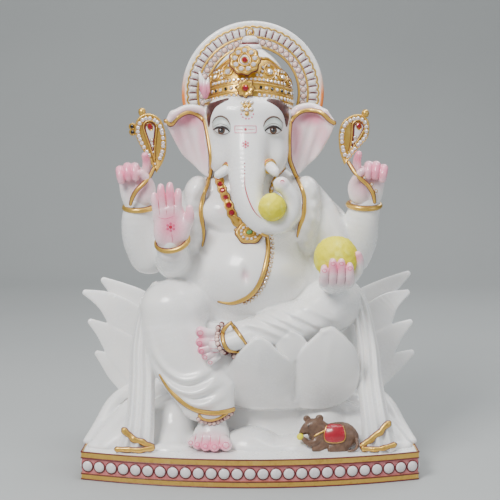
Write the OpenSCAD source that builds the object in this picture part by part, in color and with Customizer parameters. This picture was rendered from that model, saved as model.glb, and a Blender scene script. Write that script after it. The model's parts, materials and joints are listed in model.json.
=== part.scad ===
// Seated Ganesha idol: carved white marble figure on a lotus seat and a beaded plinth,
// with gold relief, set stones and painted details. Every sub-part is its own node.
// Frame: origin at the centre of the plinth's underside, +Z up, the figure faces -Y.

/* [Overall] */
// Height of the figure, from the top of the plinth to the top of the halo
figure_height = 573; // [478:1:688]
// Sides round a limb, a petal or a fold of cloth
sides = 9; // [8:1:12]

/* [Plinth] */
// Width across the front corners
plinth_width = 450; // [430:1:560]
// Depth from the front corners to the back edge
plinth_depth = 255; // [250:1:330]
// How far the front edge bows out at its middle
plinth_bow = 40; // [34:1:55]
// Height of the plinth
plinth_height = 38; // [30:0.5:50]
// Height of each gold band, as a share of the plinth height
band_share = 0.24; // [0.15:0.01:0.28]
// How far the gold bands stand proud of the marble
band_proud = 3; // [2:0.5:5]
// Diameter of a plinth bead, as a share of the frieze height
bead_share = 0.8; // [0.5:0.05:0.9]
// Pitch of the beads, as a share of the bead diameter
bead_pitch_share = 1.12; // [1.06:0.01:1.6]

/* [Halo] */
// Outer radius of the halo
halo_radius = 100; // [90:1:120]
// Width of the halo ring
halo_width = 37; // [32:1:42]
// Thickness of the halo ring
halo_thickness = 14; // [10:1:18]
// Number of pearls round the halo
halo_pearls_count = 48; // [30:2:50]
// Number of fluted blocks round the halo
halo_flutes_count = 56; // [48:2:70]

/* [Ornaments] */
// Diameter of a set stone
stone_size = 5; // [3.5:0.25:6]
// Diameter of the gold cords
cord_size = 4.4; // [3:0.2:5.4]
// Radius of the sweet held in the trunk
modak_radius = 17.5; // [14:0.5:18.5]
// Radius of the sweet held in the front left hand
laddoo_radius = 29; // [24:0.5:30]
// Tube radius of the bangles
bangle_tube = 3.6; // [2.6:0.2:4.4]

/* [Hidden] */
k = figure_height / 573;
band_h = plinth_height * band_share;
frieze_h = plinth_height - 2 * band_h;
bead_d = frieze_h * bead_share;
block_w = max(plinth_width, 430 * k);
block_d = max(plinth_depth, 250 * k);
half_w = block_w / 2;
back_half_w = half_w - 8;
front_y = block_d * 0.45;
back_y = block_d * 0.55;
frieze_t = band_proud - 1;
stone_h = stone_size * 0.55;
embed = 0.6;
halo_c = [4, 52, 473];
halo_fit = 0.2;
halo_reach = 112;
pearl_r = halo_width * 0.118;
pearl_ring = halo_radius - halo_width * 0.76;
flute_ring = halo_radius - halo_width * 0.43;
$fn = 32;

// ---------- shared maths ----------

function xyz(s) = [s[0], s[1], s[2]];
function unit(v) = v / max(norm(v), 0.000001);
function at(p, i) = p[min(max(i, 0), len(p) - 1)];
function mix(a, b, t) = a + (b - a) * t;
function spline(a, b, c, d, t) =
    0.5 * (2 * b + (c - a) * t + (2 * a - 5 * b + 4 * c - d) * t * t
        + (3 * b - a - 3 * c + d) * t * t * t);
function smooth(p, n) = concat(
    [for (i = [0 : len(p) - 2], j = [0 : n - 1])
        spline(at(p, i - 1), p[i], p[i + 1], at(p, i + 2), j / n)],
    [p[len(p) - 1]]);

// A station is [x, y, z, half width, half depth]; this one is moved and shrunk.
function shrunk(s, move, f) = [s[0] + move[0], s[1] + move[1], s[2] + move[2], s[3] * f, s[4] * f];
function domed(s, cap) =
    let (n = len(s) - 1,
        a = unit(xyz(s[0]) - xyz(s[1])), z = unit(xyz(s[n]) - xyz(s[n - 1])),
        ra = cap * min(s[0][3], s[0][4]), rz = cap * min(s[n][3], s[n][4]))
    concat([for (w = [74, 40]) shrunk(s[0], a * ra * sin(w), cos(w))], s,
        [for (w = [40, 74]) shrunk(s[n], z * rz * sin(w), cos(w))]);
function ring(s, t, up, n, cup) =
    let (u = unit(cross(t, up)), v = cross(u, t))
    [for (i = [0 : n - 1]) let (w = 360 * i / n)
        xyz(s) + u * s[3] * cos(w) + v * (s[4] * sin(w) + cup * s[3] * cos(w) * cos(w))];
function tube_faces(rows, n) = concat(
    [[for (j = [n - 1 : -1 : 0]) j]],
    [for (i = [0 : rows - 2], j = [0 : n - 1]) let (m = (j + 1) % n)
        [i * n + j, i * n + m, (i + 1) * n + m]],
    [for (i = [0 : rows - 2], j = [0 : n - 1]) let (m = (j + 1) % n)
        [i * n + j, (i + 1) * n + m, (i + 1) * n + j]],
    [[for (j = [0 : n - 1]) (rows - 1) * n + j]]);

// ---------- shared solids ----------

// A smooth body through stations. cup bends its edges forward; cap is how round its ends are.
module limb(stations, up = [0, -1, 0], n = sides, steps = 2, cup = 0, cap = 1) {
    s = domed(smooth(stations, steps), cap);
    last = len(s) - 1;
    polyhedron([for (i = [0 : last])
        each ring(s[i], unit(xyz(at(s, i + 1)) - xyz(at(s, i - 1))), up, n, cup)],
        tube_faces(last + 1, n));
}

// A round cord of one radius through points.
module cord(points, r = cord_size / 2, up = [0, -1, 0], n = 6, steps = 2)
    limb([for (p = points) [p[0], p[1], p[2], r, r]], up, n, steps);

module ball(c, r, n = 12) translate(c) scale(is_list(r) ? r : [r, r, r]) sphere(1, $fn = n);

// Keeps a free-form body as one closed mesh.
module carved() resize([0, 0, 0]) children();

// The first child, with the rest taken out of it.
module fitted() carved() difference() {
    children(0);
    if ($children > 1) children([1 : $children - 1]);
}

module figure() translate([0, 0, plinth_height]) scale(k) children();

module below() translate([-300, -300, -100]) cube([600, 600, 100]);

// A cut stone: an eight-sided prism standing on a surface point along its normal.
module stone(p, normal, d = stone_size, h = stone_h) {
    tilt = acos(unit(normal)[2]);
    turn = atan2(normal[1], normal[0]);
    translate(p) rotate([0, 0, turn]) rotate([0, tilt, 0]) translate([0, 0, -embed])
        cylinder(d = d, h = h + embed, $fn = 8);
}

// ---------- plinth ----------

function edge_y(x) = -(front_y + plinth_bow * (1 - (x / half_w) * (x / half_w)));
function outline(inset) = concat(
    [for (i = [0 : 24]) let (x = mix(-half_w + inset, half_w - inset, i / 24)) [x, edge_y(x) + inset]],
    [[back_half_w - inset, back_y - inset], [-back_half_w + inset, back_y - inset]]);

module slab(z, h, inset) translate([0, 0, z]) linear_extrude(h) polygon(outline(inset));

module wall(z, h, outer, inner) difference() {
    slab(z, h, outer);
    slab(z - 1, h + 2, inner);
}

module plinth() color("white") slab(0, plinth_height, band_proud);
module plinth_top_band() color("goldenrod") wall(plinth_height - band_h, band_h, 0, band_proud);
module plinth_bottom_band() color("goldenrod") wall(0, band_h, 0, band_proud);
module plinth_frieze() color("pink")
    wall(band_h, frieze_h, band_proud - frieze_t, band_proud);

// A domed bead with a flat back, lying on the frieze and facing -Y.
module bead() rotate([90, 0, 0]) rotate_extrude(convexity = 2)
    polygon([[0, 0], [bead_d / 2, 0], [bead_d / 2, 1.2], [bead_d * 0.4, 2.4], [bead_d * 0.22, 3.3], [0, 3.6]]);

module plinth_beads() color("ivory") {
    pitch = bead_d * bead_pitch_share;
    z = plinth_height / 2;
    face = band_proud - frieze_t;
    front_n = floor((block_w - bead_d - 6) / pitch);
    side_n = floor((block_d - bead_d - 10) / pitch);
    back_n = floor((2 * back_half_w - bead_d - 6) / pitch);
    for (i = [0 : front_n]) {
        x = (i - front_n / 2) * pitch;
        slope = atan(2 * plinth_bow * x / (half_w * half_w));
        translate([x, edge_y(x) + face + 0.15, z]) rotate([0, 0, slope]) bead();
    }
    for (s = [-1, 1], i = [0 : side_n]) {
        t = (i + 0.5) / (side_n + 1);
        x = mix(half_w, back_half_w, t) - face;
        y = mix(-front_y, back_y, t);
        lean = atan((half_w - back_half_w) / block_d);
        translate([s * x, y, z]) rotate([0, 0, s * (90 + lean)]) bead();
    }
    for (i = [0 : back_n])
        translate([(i - back_n / 2) * pitch, back_y - face, z]) rotate([0, 0, 180]) bead();
}

// ---------- body forms, before neighbours are taken out ----------

belly_z = [150, 172, 196, 220, 240, 262, 284, 304, 322, 340, 356, 372, 390, 408];
belly_a = [66, 74, 80, 81, 79, 73, 72, 80, 88, 80, 62, 48, 40, 38];
belly_b = [44, 56, 68, 75, 75, 68, 59, 54, 50, 45, 42, 41, 38, 36];
belly_y = [0, -4, -9, -12, -12, -8, -2, 3, 5, 6, 7, 9, 12, 14];
function table(z, v) = lookup(z, [for (i = [0 : len(belly_z) - 1]) [belly_z[i], v[i]]]);
function bound(t) = min(max(t, -0.98), 0.98);
// Front surface of the torso at x and height z.
function skin(x, z) = let (a = table(z, belly_a), t = bound((x - 3) / a))
    table(z, belly_y) - table(z, belly_b) * sqrt(1 - t * t);
function on_skin(x, z, off = 0) = [x, skin(x, z) - off, z];

module torso_form() {
    limb([for (i = [0 : len(belly_z) - 1]) [3, belly_y[i], belly_z[i], belly_a[i], belly_b[i]]],
        n = 18, steps = 1);
    ball([-34, -26, 312], [34, 26, 24], 10);
    ball([40, -26, 312], [34, 26, 24], 10);
}

module head_form() {
    ball([-3, -10, 424], [60, 50, 56], 14);
    ball([-34, -26, 402], [29, 30, 34], 10);
    ball([29, -26, 402], [29, 30, 34], 10);
    ball([-3, -14, 440], [55, 48, 40], 12);
    limb([[-4, -28, 436, 36, 28], [-4, -40, 404, 32, 28], [-4, -60, 372, 26, 25],
        [-4, -76, 344, 21, 21], [3, -86, 321, 19, 19], [20, -91, 305, 16.5, 16.5],
        [40, -92, 306, 14, 14], [53, -92, 322, 12.5, 12.5], [53, -93, 340, 11, 11],
        [43, -95, 351, 9.5, 9.5]], steps = 2);
}

module thigh_planted() limb([[-38, 10, 182, 44, 40], [-76, -18, 190, 46, 40], [-104, -44, 190, 43, 38]],
    up = [0, 0, 1]);
module planted_form() {
    thigh_planted();
    limb([[-104, -44, 186, 43, 40], [-104, -56, 160, 45, 35], [-93, -66, 126, 47, 32],
        [-74, -73, 96, 45, 28], [-58, -78, 74, 37, 25], [-52, -80, 60, 32, 23]]);
    limb([[-60, -84, 98, 40, 10], [-56, -92, 76, 34, 9], [-54, -92, 58, 32, 9]]);
}

module folded_form() {
    limb([[40, 8, 180, 44, 38], [80, -20, 188, 44, 38], [110, -44, 188, 39, 36]], up = [0, 0, 1]);
    limb([[112, -46, 186, 36, 36], [92, -60, 172, 36, 28], [52, -74, 160, 34, 24],
        [14, -84, 153, 27, 20], [-8, -90, 152, 21, 16]], up = [0, 0, 1]);
}

module toes(base, tips, r, up = [0, -1, 0]) for (i = [0 : len(tips) - 1]) {
    rr = r - i * 0.7;
    limb([[base[i][0], base[i][1], base[i][2], rr, rr * 0.9], [tips[i][0], tips[i][1], tips[i][2], rr, rr * 0.85]],
        up, 6, 1);
}

module planted_foot_form() {
    limb([[-51, -78, 62, 20, 18], [-50, -78, 38, 19, 18], [-50, -80, 22, 24, 20]]);
    limb([[-50, -70, 16, 24, 16], [-52, -88, 18, 27, 15], [-55, -100, 13, 25, 10]], up = [0, 0, 1]);
    toes([[-34, -100, 15], [-47, -103, 13], [-57, -103, 12], [-67, -101, 13], [-75, -96, 14]],
        [[-32, -115, 9], [-49, -119, 8], [-61, -118, 8], [-72, -113, 9], [-81, -105, 10]],
        8, [0, 0, 1]);
}

module crossed_foot_form() {
    limb([[-2, -90, 152, 19, 17], [-20, -94, 148, 22, 16], [-38, -99, 144, 21, 12], [-48, -101, 142, 20, 9]],
        up = [0, 0, 1]);
    toes([[-48, -101, 158], [-50, -104, 149], [-49, -104, 140], [-46, -103, 132], [-42, -101, 125]],
        [[-66, -105, 162], [-69, -108, 149], [-66, -108, 138], [-60, -106, 129], [-52, -104, 121]],
        8, [0, -1, 0]);
}

module seat_form() limb([[28, 8, 46, 92, 66], [30, 8, 62, 116, 84], [30, 8, 92, 128, 94], [30, 10, 124, 132, 98],
    [28, 12, 146, 130, 94], [26, 14, 158, 112, 80]], n = 16, steps = 1, cap = 0.1);
module pedestal_form() limb([[14, 16, 6, 128, 74], [18, 14, 26, 118, 68], [22, 12, 46, 112, 62]], n = 16, steps = 1, cap = 0.1);

// A petal from base to tip: wide in the middle, thin at the edge, curling at the tip.
module petal(base, mid, high, tip, w, up, t = 5, cup = 0.18)
    limb([[base[0], base[1], base[2], w * 0.72, t], [mid[0], mid[1], mid[2], w, t],
        [high[0], high[1], high[2], w * 0.72, t * 0.9], [tip[0], tip[1], tip[2], 3.4, 3.4]],
        up, 8, 1, cup);

module front_petals_form() {
    petal([14, -72, 50], [8, -88, 92], [10, -92, 132], [12, -94, 156], 46, [0, -1, 0], 6);
    petal([64, -70, 50], [60, -86, 100], [60, -88, 138], [59, -90, 162], 30, [0, -1, 0], 5);
    petal([104, -54, 52], [104, -76, 96], [106, -82, 138], [106, -83, 164], 46, [0.3, -1, 0], 6);
}

module side_petals_form() {
    petal([-96, 40, 44], [-160, 40, 74], [-196, 42, 92], [-222, 45, 101], 34, [-0.4, -0.9, 0.5]);
    petal([-98, 44, 60], [-158, 46, 108], [-200, 50, 134], [-231, 52, 146], 36, [-0.5, -0.9, 0.5]);
    petal([-92, 50, 84], [-146, 54, 134], [-194, 58, 172], [-240, 60, 187], 38, [-0.5, -0.9, 0.5]);
    petal([-80, 62, 100], [-130, 68, 150], [-176, 72, 180], [-212, 74, 202], 36, [-0.5, -0.9, 0.5]);
    petal([-60, 78, 60], [-96, 96, 110], [-130, 106, 146], [-150, 110, 176], 40, [-0.5, 0.9, 0.5]);
    petal([-14, 84, 56], [-34, 106, 104], [-44, 116, 142], [-50, 120, 170], 42, [0, 1, 0]);
}

module scarf_left_form() limb([[-127, -36, 203, 11, 8], [-142, -48, 176, 13, 7], [-147, -64, 132, 16, 7],
    [-145, -78, 92, 19, 7], [-144, -96, 48, 20, 7], [-147, -106, 26, 23, 6], [-153, -113, 4, 27, 6]]);
module scarf_right_form() limb([[131, -34, 212, 11, 8], [148, -48, 190, 12, 7], [160, -62, 132, 15, 7],
    [162, -76, 88, 17, 7], [166, -96, 48, 20, 7], [169, -104, 30, 22, 6], [173, -112, 4, 25, 6]]);

module rear_arm_form(s, wrist) {
    limb([[s * 62, 8, 332, 30, 30], [s * 92, 20, 318, 32, 30], [s * 122, 22, 278, 30, 28],
        [s * 142, 14, 250, 27, 25]], steps = 1);
    limb([[s * 143, 12, 246, 27, 25], [s * 150, 2, 272, 27, 24], [wrist[0], wrist[1], wrist[2], 21, 20]], steps = 1);
}

// Fingers curled over a fist, with the first finger and thumb pinched and raised.
module fist(c, s) {
    limb([[c[0], c[1] + 4, c[2] - 34, 20, 17], [c[0] + s * 3, c[1] + 2, c[2] - 14, 25, 15],
        [c[0] + s * 4, c[1], c[2] + 8, 24, 13]], steps = 1);
    for (i = [0 : 2]) {
        x = c[0] + s * (22 - i * 12);
        limb([[x, c[1] - 4, c[2] + 10, 7, 8], [x, c[1] - 8, c[2] + 19, 7, 8], [x, c[1] - 16, c[2] + 14, 6.4, 6.4],
            [x - s * 1, c[1] - 17, c[2] + 3, 6, 6]], [1, 0, 0], 6, 1);
    }
    limb([[c[0] - s * 12, c[1] - 3, c[2] + 4, 8, 8], [c[0] - s * 15, c[1] - 7, c[2] + 20, 7, 7],
        [c[0] - s * 12, c[1] - 12, c[2] + 33, 6, 6]], [0, -1, 0], 6, 1);
    limb([[c[0] - s * 17, c[1] - 4, c[2] - 16, 9, 9], [c[0] - s * 14, c[1] - 14, c[2] - 2, 7, 7],
        [c[0] - s * 7, c[1] - 19, c[2] + 10, 6, 6]], [0, -1, 0], 6, 1);
}

rear_right = [-154, -14, 352];
rear_left = [159, -14, 354];

module front_arm_right_form() {
    limb([[-70, -2, 326, 30, 28], [-92, -4, 300, 31, 29], [-102, -12, 262, 29, 28], [-104, -26, 244, 27, 25]], steps = 1);
    limb([[-104, -24, 246, 25, 25], [-105, -48, 254, 24, 24], [-106, -66, 270, 20, 18]], up = [1, 0, 0]);
}
module front_arm_left_form() {
    limb([[78, -2, 326, 30, 28], [98, -6, 300, 31, 29], [112, -14, 262, 28, 27], [115, -28, 240, 26, 25]], steps = 1);
    limb([[115, -26, 242, 25, 25], [115, -48, 228, 23, 22], [114, -68, 222, 18, 17]], up = [1, 0, 0]);
}

module open_hand_form() {
    limb([[-106, -69, 273, 18, 16], [-106, -74, 290, 23, 13], [-107, -78, 312, 23, 11], [-108, -79, 322, 20, 10]], steps = 1);
    tips = [[-124, -80, 345], [-116, -82, 353], [-106, -82, 352], [-96, -80, 338]];
    for (i = [0 : 3])
        limb([[-121 + i * 9.4, -78, 318, 6.6, 7], [mix(-121 + i * 9.4, tips[i][0], 0.6), -80, 334, 6, 6.4],
            [tips[i][0], tips[i][1], tips[i][2], 5.2, 5.6]], n = 6, steps = 1);
    limb([[-92, -74, 292, 9, 9], [-84, -79, 306, 8, 8], [-85, -82, 320, 6, 6]], n = 6, steps = 1);
}

module holding_hand_form() {
    limb([[114, -66, 222, 18, 16], [114, -80, 222, 24, 13], [114, -92, 225, 26, 12]], up = [0, 0, 1], steps = 1);
    for (i = [0 : 3]) {
        x = 96 + i * 12;
        limb([[x, -92, 222, 7, 8], [x, -108, 226, 6.4, 7], [x, -119, 238, 6, 6.4], [x, -121, 252, 5.4, 5.4]],
            [1, 0, 0], 6, 1);
    }
    limb([[134, -82, 226, 9, 9], [143, -92, 244, 8, 8], [143, -98, 262, 6.4, 6.4]], n = 6, steps = 1);
}

laddoo_c = [114, -92, 229 + laddoo_radius];
modak_c = [29, -104, 327];

module crown_form() limb([[-5, 0, 452, 61, 52], [-5, 2, 470, 62, 53], [-5, 4, 488, 58, 49], [-5, 6, 504, 48, 41],
    [-5, 8, 518, 34, 29], [-5, 8, 528, 20, 17], [-5, 8, 534, 9, 9]], n = 16, steps = 1, cap = 0.5);
crown_z = [452, 470, 488, 504, 518, 528, 534];
crown_a = [61, 62, 58, 48, 34, 20, 9];
crown_b = [52, 53, 49, 41, 29, 17, 9];
crown_y = [0, 2, 4, 6, 8, 8, 8];
function crown_at(z, v) = lookup(z, [for (i = [0 : len(crown_z) - 1]) [crown_z[i], v[i]]]);
// Point on the crown at an angle from the front and a height, pushed out by off.
function on_crown(w, z, off = 0) = [-5 + (crown_at(z, crown_a) + off) * sin(w),
    crown_at(z, crown_y) - (crown_at(z, crown_b) + off) * cos(w), z];
function crown_normal(w, z) = unit([sin(w), -cos(w), z > 480 ? (z - 470) / 50 : 0]);

module ear_form(s) translate([s > 0 ? 1 : -1, 0, 0])
    limb([[s * 58, -14, 362, 4, 5], [s * 65, -17, 384, 14, 5], [s * 75, -18, 408, 23, 5],
        [s * 84, -15, 430, 30, 5.5], [s * 86, -12, 444, 26, 6]], n = 14, cup = 0.22);

// The space the halo takes in its neighbours, with its own fit.
module halo_form() translate(halo_c) rotate([90, 0, 0])
    tube(halo_radius - halo_width - halo_fit, halo_radius + halo_fit, halo_thickness);

// ---------- marble nodes ----------

module head_and_trunk() color("white") figure() fitted() {
    head_form();
    ball(modak_c, modak_radius, 14);
}
module torso() color("white") figure() fitted() {
    torso_form();
    head_form();
    ball(modak_c, modak_radius, 14);
    halo_form();
}
module folded_leg() color("white") figure() fitted() {
    folded_form();
    torso_form();
}
module planted_leg() color("white") figure() fitted() {
    planted_form();
    torso_form();
    folded_form();
}
module crossed_foot() color("white") figure() fitted() {
    crossed_foot_form();
    folded_form();
    planted_form();
    front_petals_form();
}
module planted_foot() color("white") figure() fitted() {
    planted_foot_form();
    planted_form();
    below();
}
module legs_form() {
    torso_form();
    folded_form();
    planted_form();
    crossed_foot_form();
    planted_foot_form();
}
module seat_pedestal() color("whitesmoke") figure() fitted() {
    pedestal_form();
    below();
    seat_form();
    legs_form();
}
module lotus_front_petals() color("white") figure() fitted() {
    front_petals_form();
    folded_form();
    torso_form();
    planted_form();
}
module lotus_seat() color("white") figure() fitted() {
    seat_form();
    torso_form();
    folded_form();
    planted_form();
    crossed_foot_form();
    front_petals_form();
}
module side_petals(s) color("white") figure() fitted() {
    intersection() {
        union() {
            mirror([s > 0 ? 1 : 0, 0, 0]) side_petals_form();
        }
        translate([s > 0 ? 0 : -300, -200, -10]) cube([300, 500, 400]);
    }
    seat_form();
    pedestal_form();
    legs_form();
    front_petals_form();
    arms_form();
    translate([0, 0, -k]) below();
}
module arms_form() {
    for (s = [-1, 1]) rear_arm_form(s, s < 0 ? rear_right + [3, 6, -36] : rear_left + [-2, 6, -36]);
    front_arm_left_form();
    front_arm_right_form();
}
module lotus_petals_left() side_petals(1);
module lotus_petals_right() side_petals(-1);

module scarf_fall(s) color("white") figure() fitted() {
    union() {
        if (s < 0) scarf_left_form();
        else scarf_right_form();
    }
    legs_form();
    seat_form();
    pedestal_form();
    front_petals_form();
    mirror([s > 0 ? 1 : 0, 0, 0]) side_petals_form();
    front_arm_left_form();
    front_arm_right_form();
    holding_hand_form();
    below();
}
module scarf_fall_right() scarf_fall(-1);
module scarf_fall_left() scarf_fall(1);

module rear_arm(s) color("white") figure() fitted() {
    rear_arm_form(s, s < 0 ? rear_right + [3, 6, -36] : rear_left + [-2, 6, -36]);
    torso_form();
    head_form();
    front_arm_left_form();
    front_arm_right_form();
    ear_form(s);
}
module rear_arm_right() rear_arm(-1);
module rear_arm_left() rear_arm(1);

module front_arm_right() color("white") figure() fitted() {
    front_arm_right_form();
    torso_form();
    planted_form();
}
module front_arm_left() color("white") figure() fitted() {
    front_arm_left_form();
    torso_form();
    folded_form();
    ball(laddoo_c, laddoo_radius, 14);
}

module rear_hand(s) color("white") figure() fitted() {
    fist(s < 0 ? rear_right : rear_left, s);
    rear_arm_form(s, s < 0 ? rear_right + [3, 6, -36] : rear_left + [-2, 6, -36]);
    emblem_body(s);
}
module rear_hand_right() rear_hand(-1);
module rear_hand_left() rear_hand(1);

module front_hand_right() color("white") figure() fitted() {
    open_hand_form();
    front_arm_right_form();
    torso_form();
}
module front_hand_left() color("white") figure() fitted() {
    holding_hand_form();
    front_arm_left_form();
    folded_form();
    front_petals_form();
    ball(laddoo_c, laddoo_radius, 14);
}

module ear(s) color("white") figure() fitted() {
    ear_form(s);
    head_form();
    torso_form();
}
module ear_right() ear(-1);
module ear_left() ear(1);

module crown() color("white") figure() fitted() {
    crown_form();
    head_form();
    ear_form(-1);
    ear_form(1);
}

// ---------- bangles and anklets ----------

bangle_spots = [
    [[-151, -8, 320], 24, [6, -6, 0]], [[157, -8, 322], 24, [6, 6, 0]], [[-106, -66, 272], 23, [52, 0, 0]]
];
module bangle_ring(i) translate(bangle_spots[i][0]) rotate(bangle_spots[i][2])
    rotate_extrude($fn = 18) translate([bangle_spots[i][1], 0]) circle(bangle_tube, $fn = 5);

module bangles() color("goldenrod") figure() fitted() {
    for (i = [0 : 2]) bangle_ring(i);
    arms_form();
    for (s = [-1, 1]) fist(s < 0 ? rear_right : rear_left, s);
    for (s = [-1, 1]) emblem_body(s);
    open_hand_form();
}

module leg_hem_trim() color("goldenrod") figure() fitted() {
    cord([[-124, -82, 98], [-108, -96, 80], [-94, -98, 68], [-78, -103, 58], [-60, -104, 53], [-40, -102, 53],
        [-21, -97, 56]], r = 4);
    planted_form();
    planted_foot_form();
    seat_form();
}

module planted_anklet() color("goldenrod") figure() fitted() {
    for (i = [0 : 10]) {
        w = -70 + i * 14;
        ball([-50 + 21 * sin(w), -79 - 20 * cos(w), 42 - 3 * cos(w)], 2.9, 6);
    }
    planted_form();
    planted_foot_form();
}

module crossed_anklet() color("goldenrod") figure() fitted() {
    union() {
        for (i = [0 : 10]) {
            w = -80 + i * 16;
            ball([-27 - 6 * cos(w), -112 + 8 * sin(w) * sin(w), 147 + 21 * sin(w)], 2.9, 6);
        }
        cord([[-20, -103, 166], [-23, -108, 156], [-23, -110, 147], [-21, -108, 138], [-17, -103, 130]], r = 2.2, n = 5, steps = 1);
        cord([[-10, -104, 167], [-7, -108, 157], [-4, -109, 148]], r = 2.4, n = 5, steps = 1);
    }
    crossed_foot_form();
    folded_form();
    front_petals_form();
}

// ---------- scarf hems, shoulder trims, thread ----------

module scarf_hem(s) color("goldenrod") figure() fitted() {
    union() {
        if (s < 0) {
            cord([[-170, -110, 26], [-158, -112, 19], [-146, -117, 14], [-135, -121, 7], [-130, -122, 4]], r = 3.2, n = 5, steps = 1);
            cord([[-130, -122, 4], [-142, -121, 3.4], [-156, -120, 4], [-168, -118, 3.4], [-177, -116, 4]], r = 3.2, n = 5, steps = 1);
        } else {
            cord([[190, -106, 34], [181, -108, 22], [167, -114, 15], [157, -119, 8], [154, -121, 4]], r = 3.2, n = 5, steps = 1);
            cord([[154, -121, 4], [166, -120, 5], [178, -118, 6], [188, -116, 9], [197, -113, 10]], r = 3.2, n = 5, steps = 1);
        }
    }
    scarf_left_form();
    scarf_right_form();
    below();
}
module scarf_hem_right() scarf_hem(-1);
module scarf_hem_left() scarf_hem(1);

module shoulder_trim(s) color("goldenrod") figure() fitted() {
    union() {
        if (s < 0) cord([on_skin(-66, 348, 1), on_skin(-69, 338, 1), on_skin(-70, 326, 1), on_skin(-69, 306, 1),
            on_skin(-66, 288, 1), on_skin(-66, 270, 1)]);
        else cord([on_skin(71, 347, 1), on_skin(74, 338, 1), on_skin(76, 326, 1), on_skin(74, 306, 1),
            on_skin(70, 292, 1), on_skin(63, 280, 1)]);
    }
    torso_form();
    head_form();
    ear_form(s);
    arms_form();
    ball([-34, -26, 312], [34, 26, 24]);
}
module shoulder_trim_right() shoulder_trim(-1);
module shoulder_trim_left() shoulder_trim(1);

thread_pts = [on_skin(23, 284, 0.6), on_skin(25, 262, 0.6), on_skin(21, 240, 0.6), on_skin(10, 218, 1),
    on_skin(-6, 203, 2), on_skin(-20, 197, 4)];

module navel_thread() color("goldenrod") figure() fitted() {
    cord(thread_pts, r = 2.8);
    torso_form();
    head_form();
    folded_form();
    planted_form();
}
module navel_thread_crystals() color("white") figure() fitted() {
    s = smooth(thread_pts, 5);
    for (i = [3 : 2 : 19]) {
        d = unit(s[i + 1] - s[i - 1]);
        side = unit(cross(d, [0, -1, 0]));
        p = s[i] - side * 5.6;
        ball([p[0], skin(p[0], p[2]) - 1.7, p[2]], 2.6, 6);
    }
    torso_form();
    head_form();
    folded_form();
    planted_form();
    cord(thread_pts, r = 2.8);
}

// ---------- head ornaments ----------

module tusk_form(s) {
    if (s < 0) limb([[-24, -50, 376, 7, 7], [-34, -62, 370, 6.6, 6.6], [-44, -74, 364, 5.6, 5.6]], n = 8);
    else limb([[22, -50, 378, 7.5, 7.5], [30, -68, 374, 7, 7], [35, -84, 369, 6.4, 6.4]], n = 8);
}
module collar_form(s) {
    p = s < 0 ? [-29, -56, 373] : [25, -57, 376];
    translate(p) rotate(s < 0 ? [64, 0, -40] : [70, 0, 20])
        cylinder(r = 10, h = 5, center = true, $fn = 12);
}
module tusk(s) color("ivory") figure() fitted() {
    tusk_form(s);
    head_form();
    collar_form(s);
    torso_form();
}
module tusk_right() tusk(-1);
module tusk_left() tusk(1);
module tusk_collars() color("goldenrod") figure() fitted() {
    union() {
        collar_form(-1);
        collar_form(1);
    }
    head_form();
    torso_form();
}

module ear_trim(s) color("goldenrod") figure() fitted() {
    union() {
        o = s > 0 ? 1 : -1;
        cord([[s * 114 + o, -28, 432], [s * 108 + o, -27, 442], [s * 96 + o, -24, 449], [s * 82 + o, -22, 450],
            [s * 70 + o, -23, 445], [s * 62 + o, -27, 436]]);
        cord([[s * 61 + o, -27, 438], [s * 57 + o, -29, 420], [s * 58 + o, -26, 400], [s * 60 + o, -24, 380],
            [s * 60 + o, -22, 364], [s * 61 + o, -26, 354]]);
    }
    ear_form(s);
    head_form();
    torso_form();
    rear_arm_form(s, s < 0 ? rear_right + [3, 6, -36] : rear_left + [-2, 6, -36]);
}
module ear_trim_right() ear_trim(-1);
module ear_trim_left() ear_trim(1);

// Scalloped disc for the crown's medallion and centre flower.
module rosette(p, tilt, r, lobes, t) translate(p) rotate([90 - tilt, 0, 0]) linear_extrude(t)
    polygon([for (i = [0 : 4 * lobes - 1]) let (w = 90 * i / lobes)
        r * (1.15 + 0.13 * cos(lobes * w)) * [cos(w), sin(w)]]);

medal_p = [-5, -36, 514];
flower_p = [-5, -50, 479];

module crown_relief_form() {
    difference() {
        limb([[-5, 0, 457, 64, 55], [-5, 2, 470, 65, 56], [-5, 3, 480, 63, 54]], n = 18, steps = 1, cap = 0.1);
        translate([-100, -100, 478.6]) cube([200, 200, 100]);
        translate([-100, -100, 350]) cube([200, 200, 105.6]);
        translate([-100, 12.7, 350]) cube([200, 200, 200]);
    }
    rosette(medal_p, 28, 17, 9, 6);
    rosette(flower_p, 4, 8, 6, 8);
    for (s = [-1, 1])
        cord([for (q = [[28, 474], [35, 490], [47, 495], [58, 488], [65, 473]]) on_crown(s * q[0], q[1], 1.2)],
            r = 3, n = 6, steps = 1);
}
module crown_gold_relief() color("goldenrod") figure() fitted() {
    crown_relief_form();
    crown_form();
    head_form();
}

module crown_stones() color("crimson") figure() {
    for (w = [-68 : 8.5 : 68]) if (abs(w) > 9)
        stone(on_crown(w, 459.5 + 4 * cos(w) - 2, 4.4), crown_normal(w, 459));
    for (w = [-66 : 11 : 66]) if (abs(w) > 14)
        stone(on_crown(w, 470 + 4 * cos(w) - 2, 3.6), crown_normal(w, 470), stone_size * 0.9);
    n = [0, -cos(28), sin(28)];
    up = [0, sin(28), cos(28)];
    for (i = [0 : 9]) stone(medal_p + n * 6 + [1, 0, 0] * 13 * sin(i * 36) + up * 13 * cos(i * 36), n,
        stone_size * 0.96);
    stone(medal_p + n * 6, n, stone_size * 1.3, stone_h * 1.6);
    stone(flower_p + [0, -8, 0], [0, -1, 0.07], stone_size * 1.6);
}

module crown_finial() color("goldenrod") figure() fitted() {
    union() {
        translate([-5, 8, 530]) cylinder(r = 11, h = 8, $fn = 12);
        translate([-5, 8, 542]) scale([1, 1, 0.8]) sphere(r = 9, $fn = 10);
    }
    crown_form();
    halo_form();
}

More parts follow.
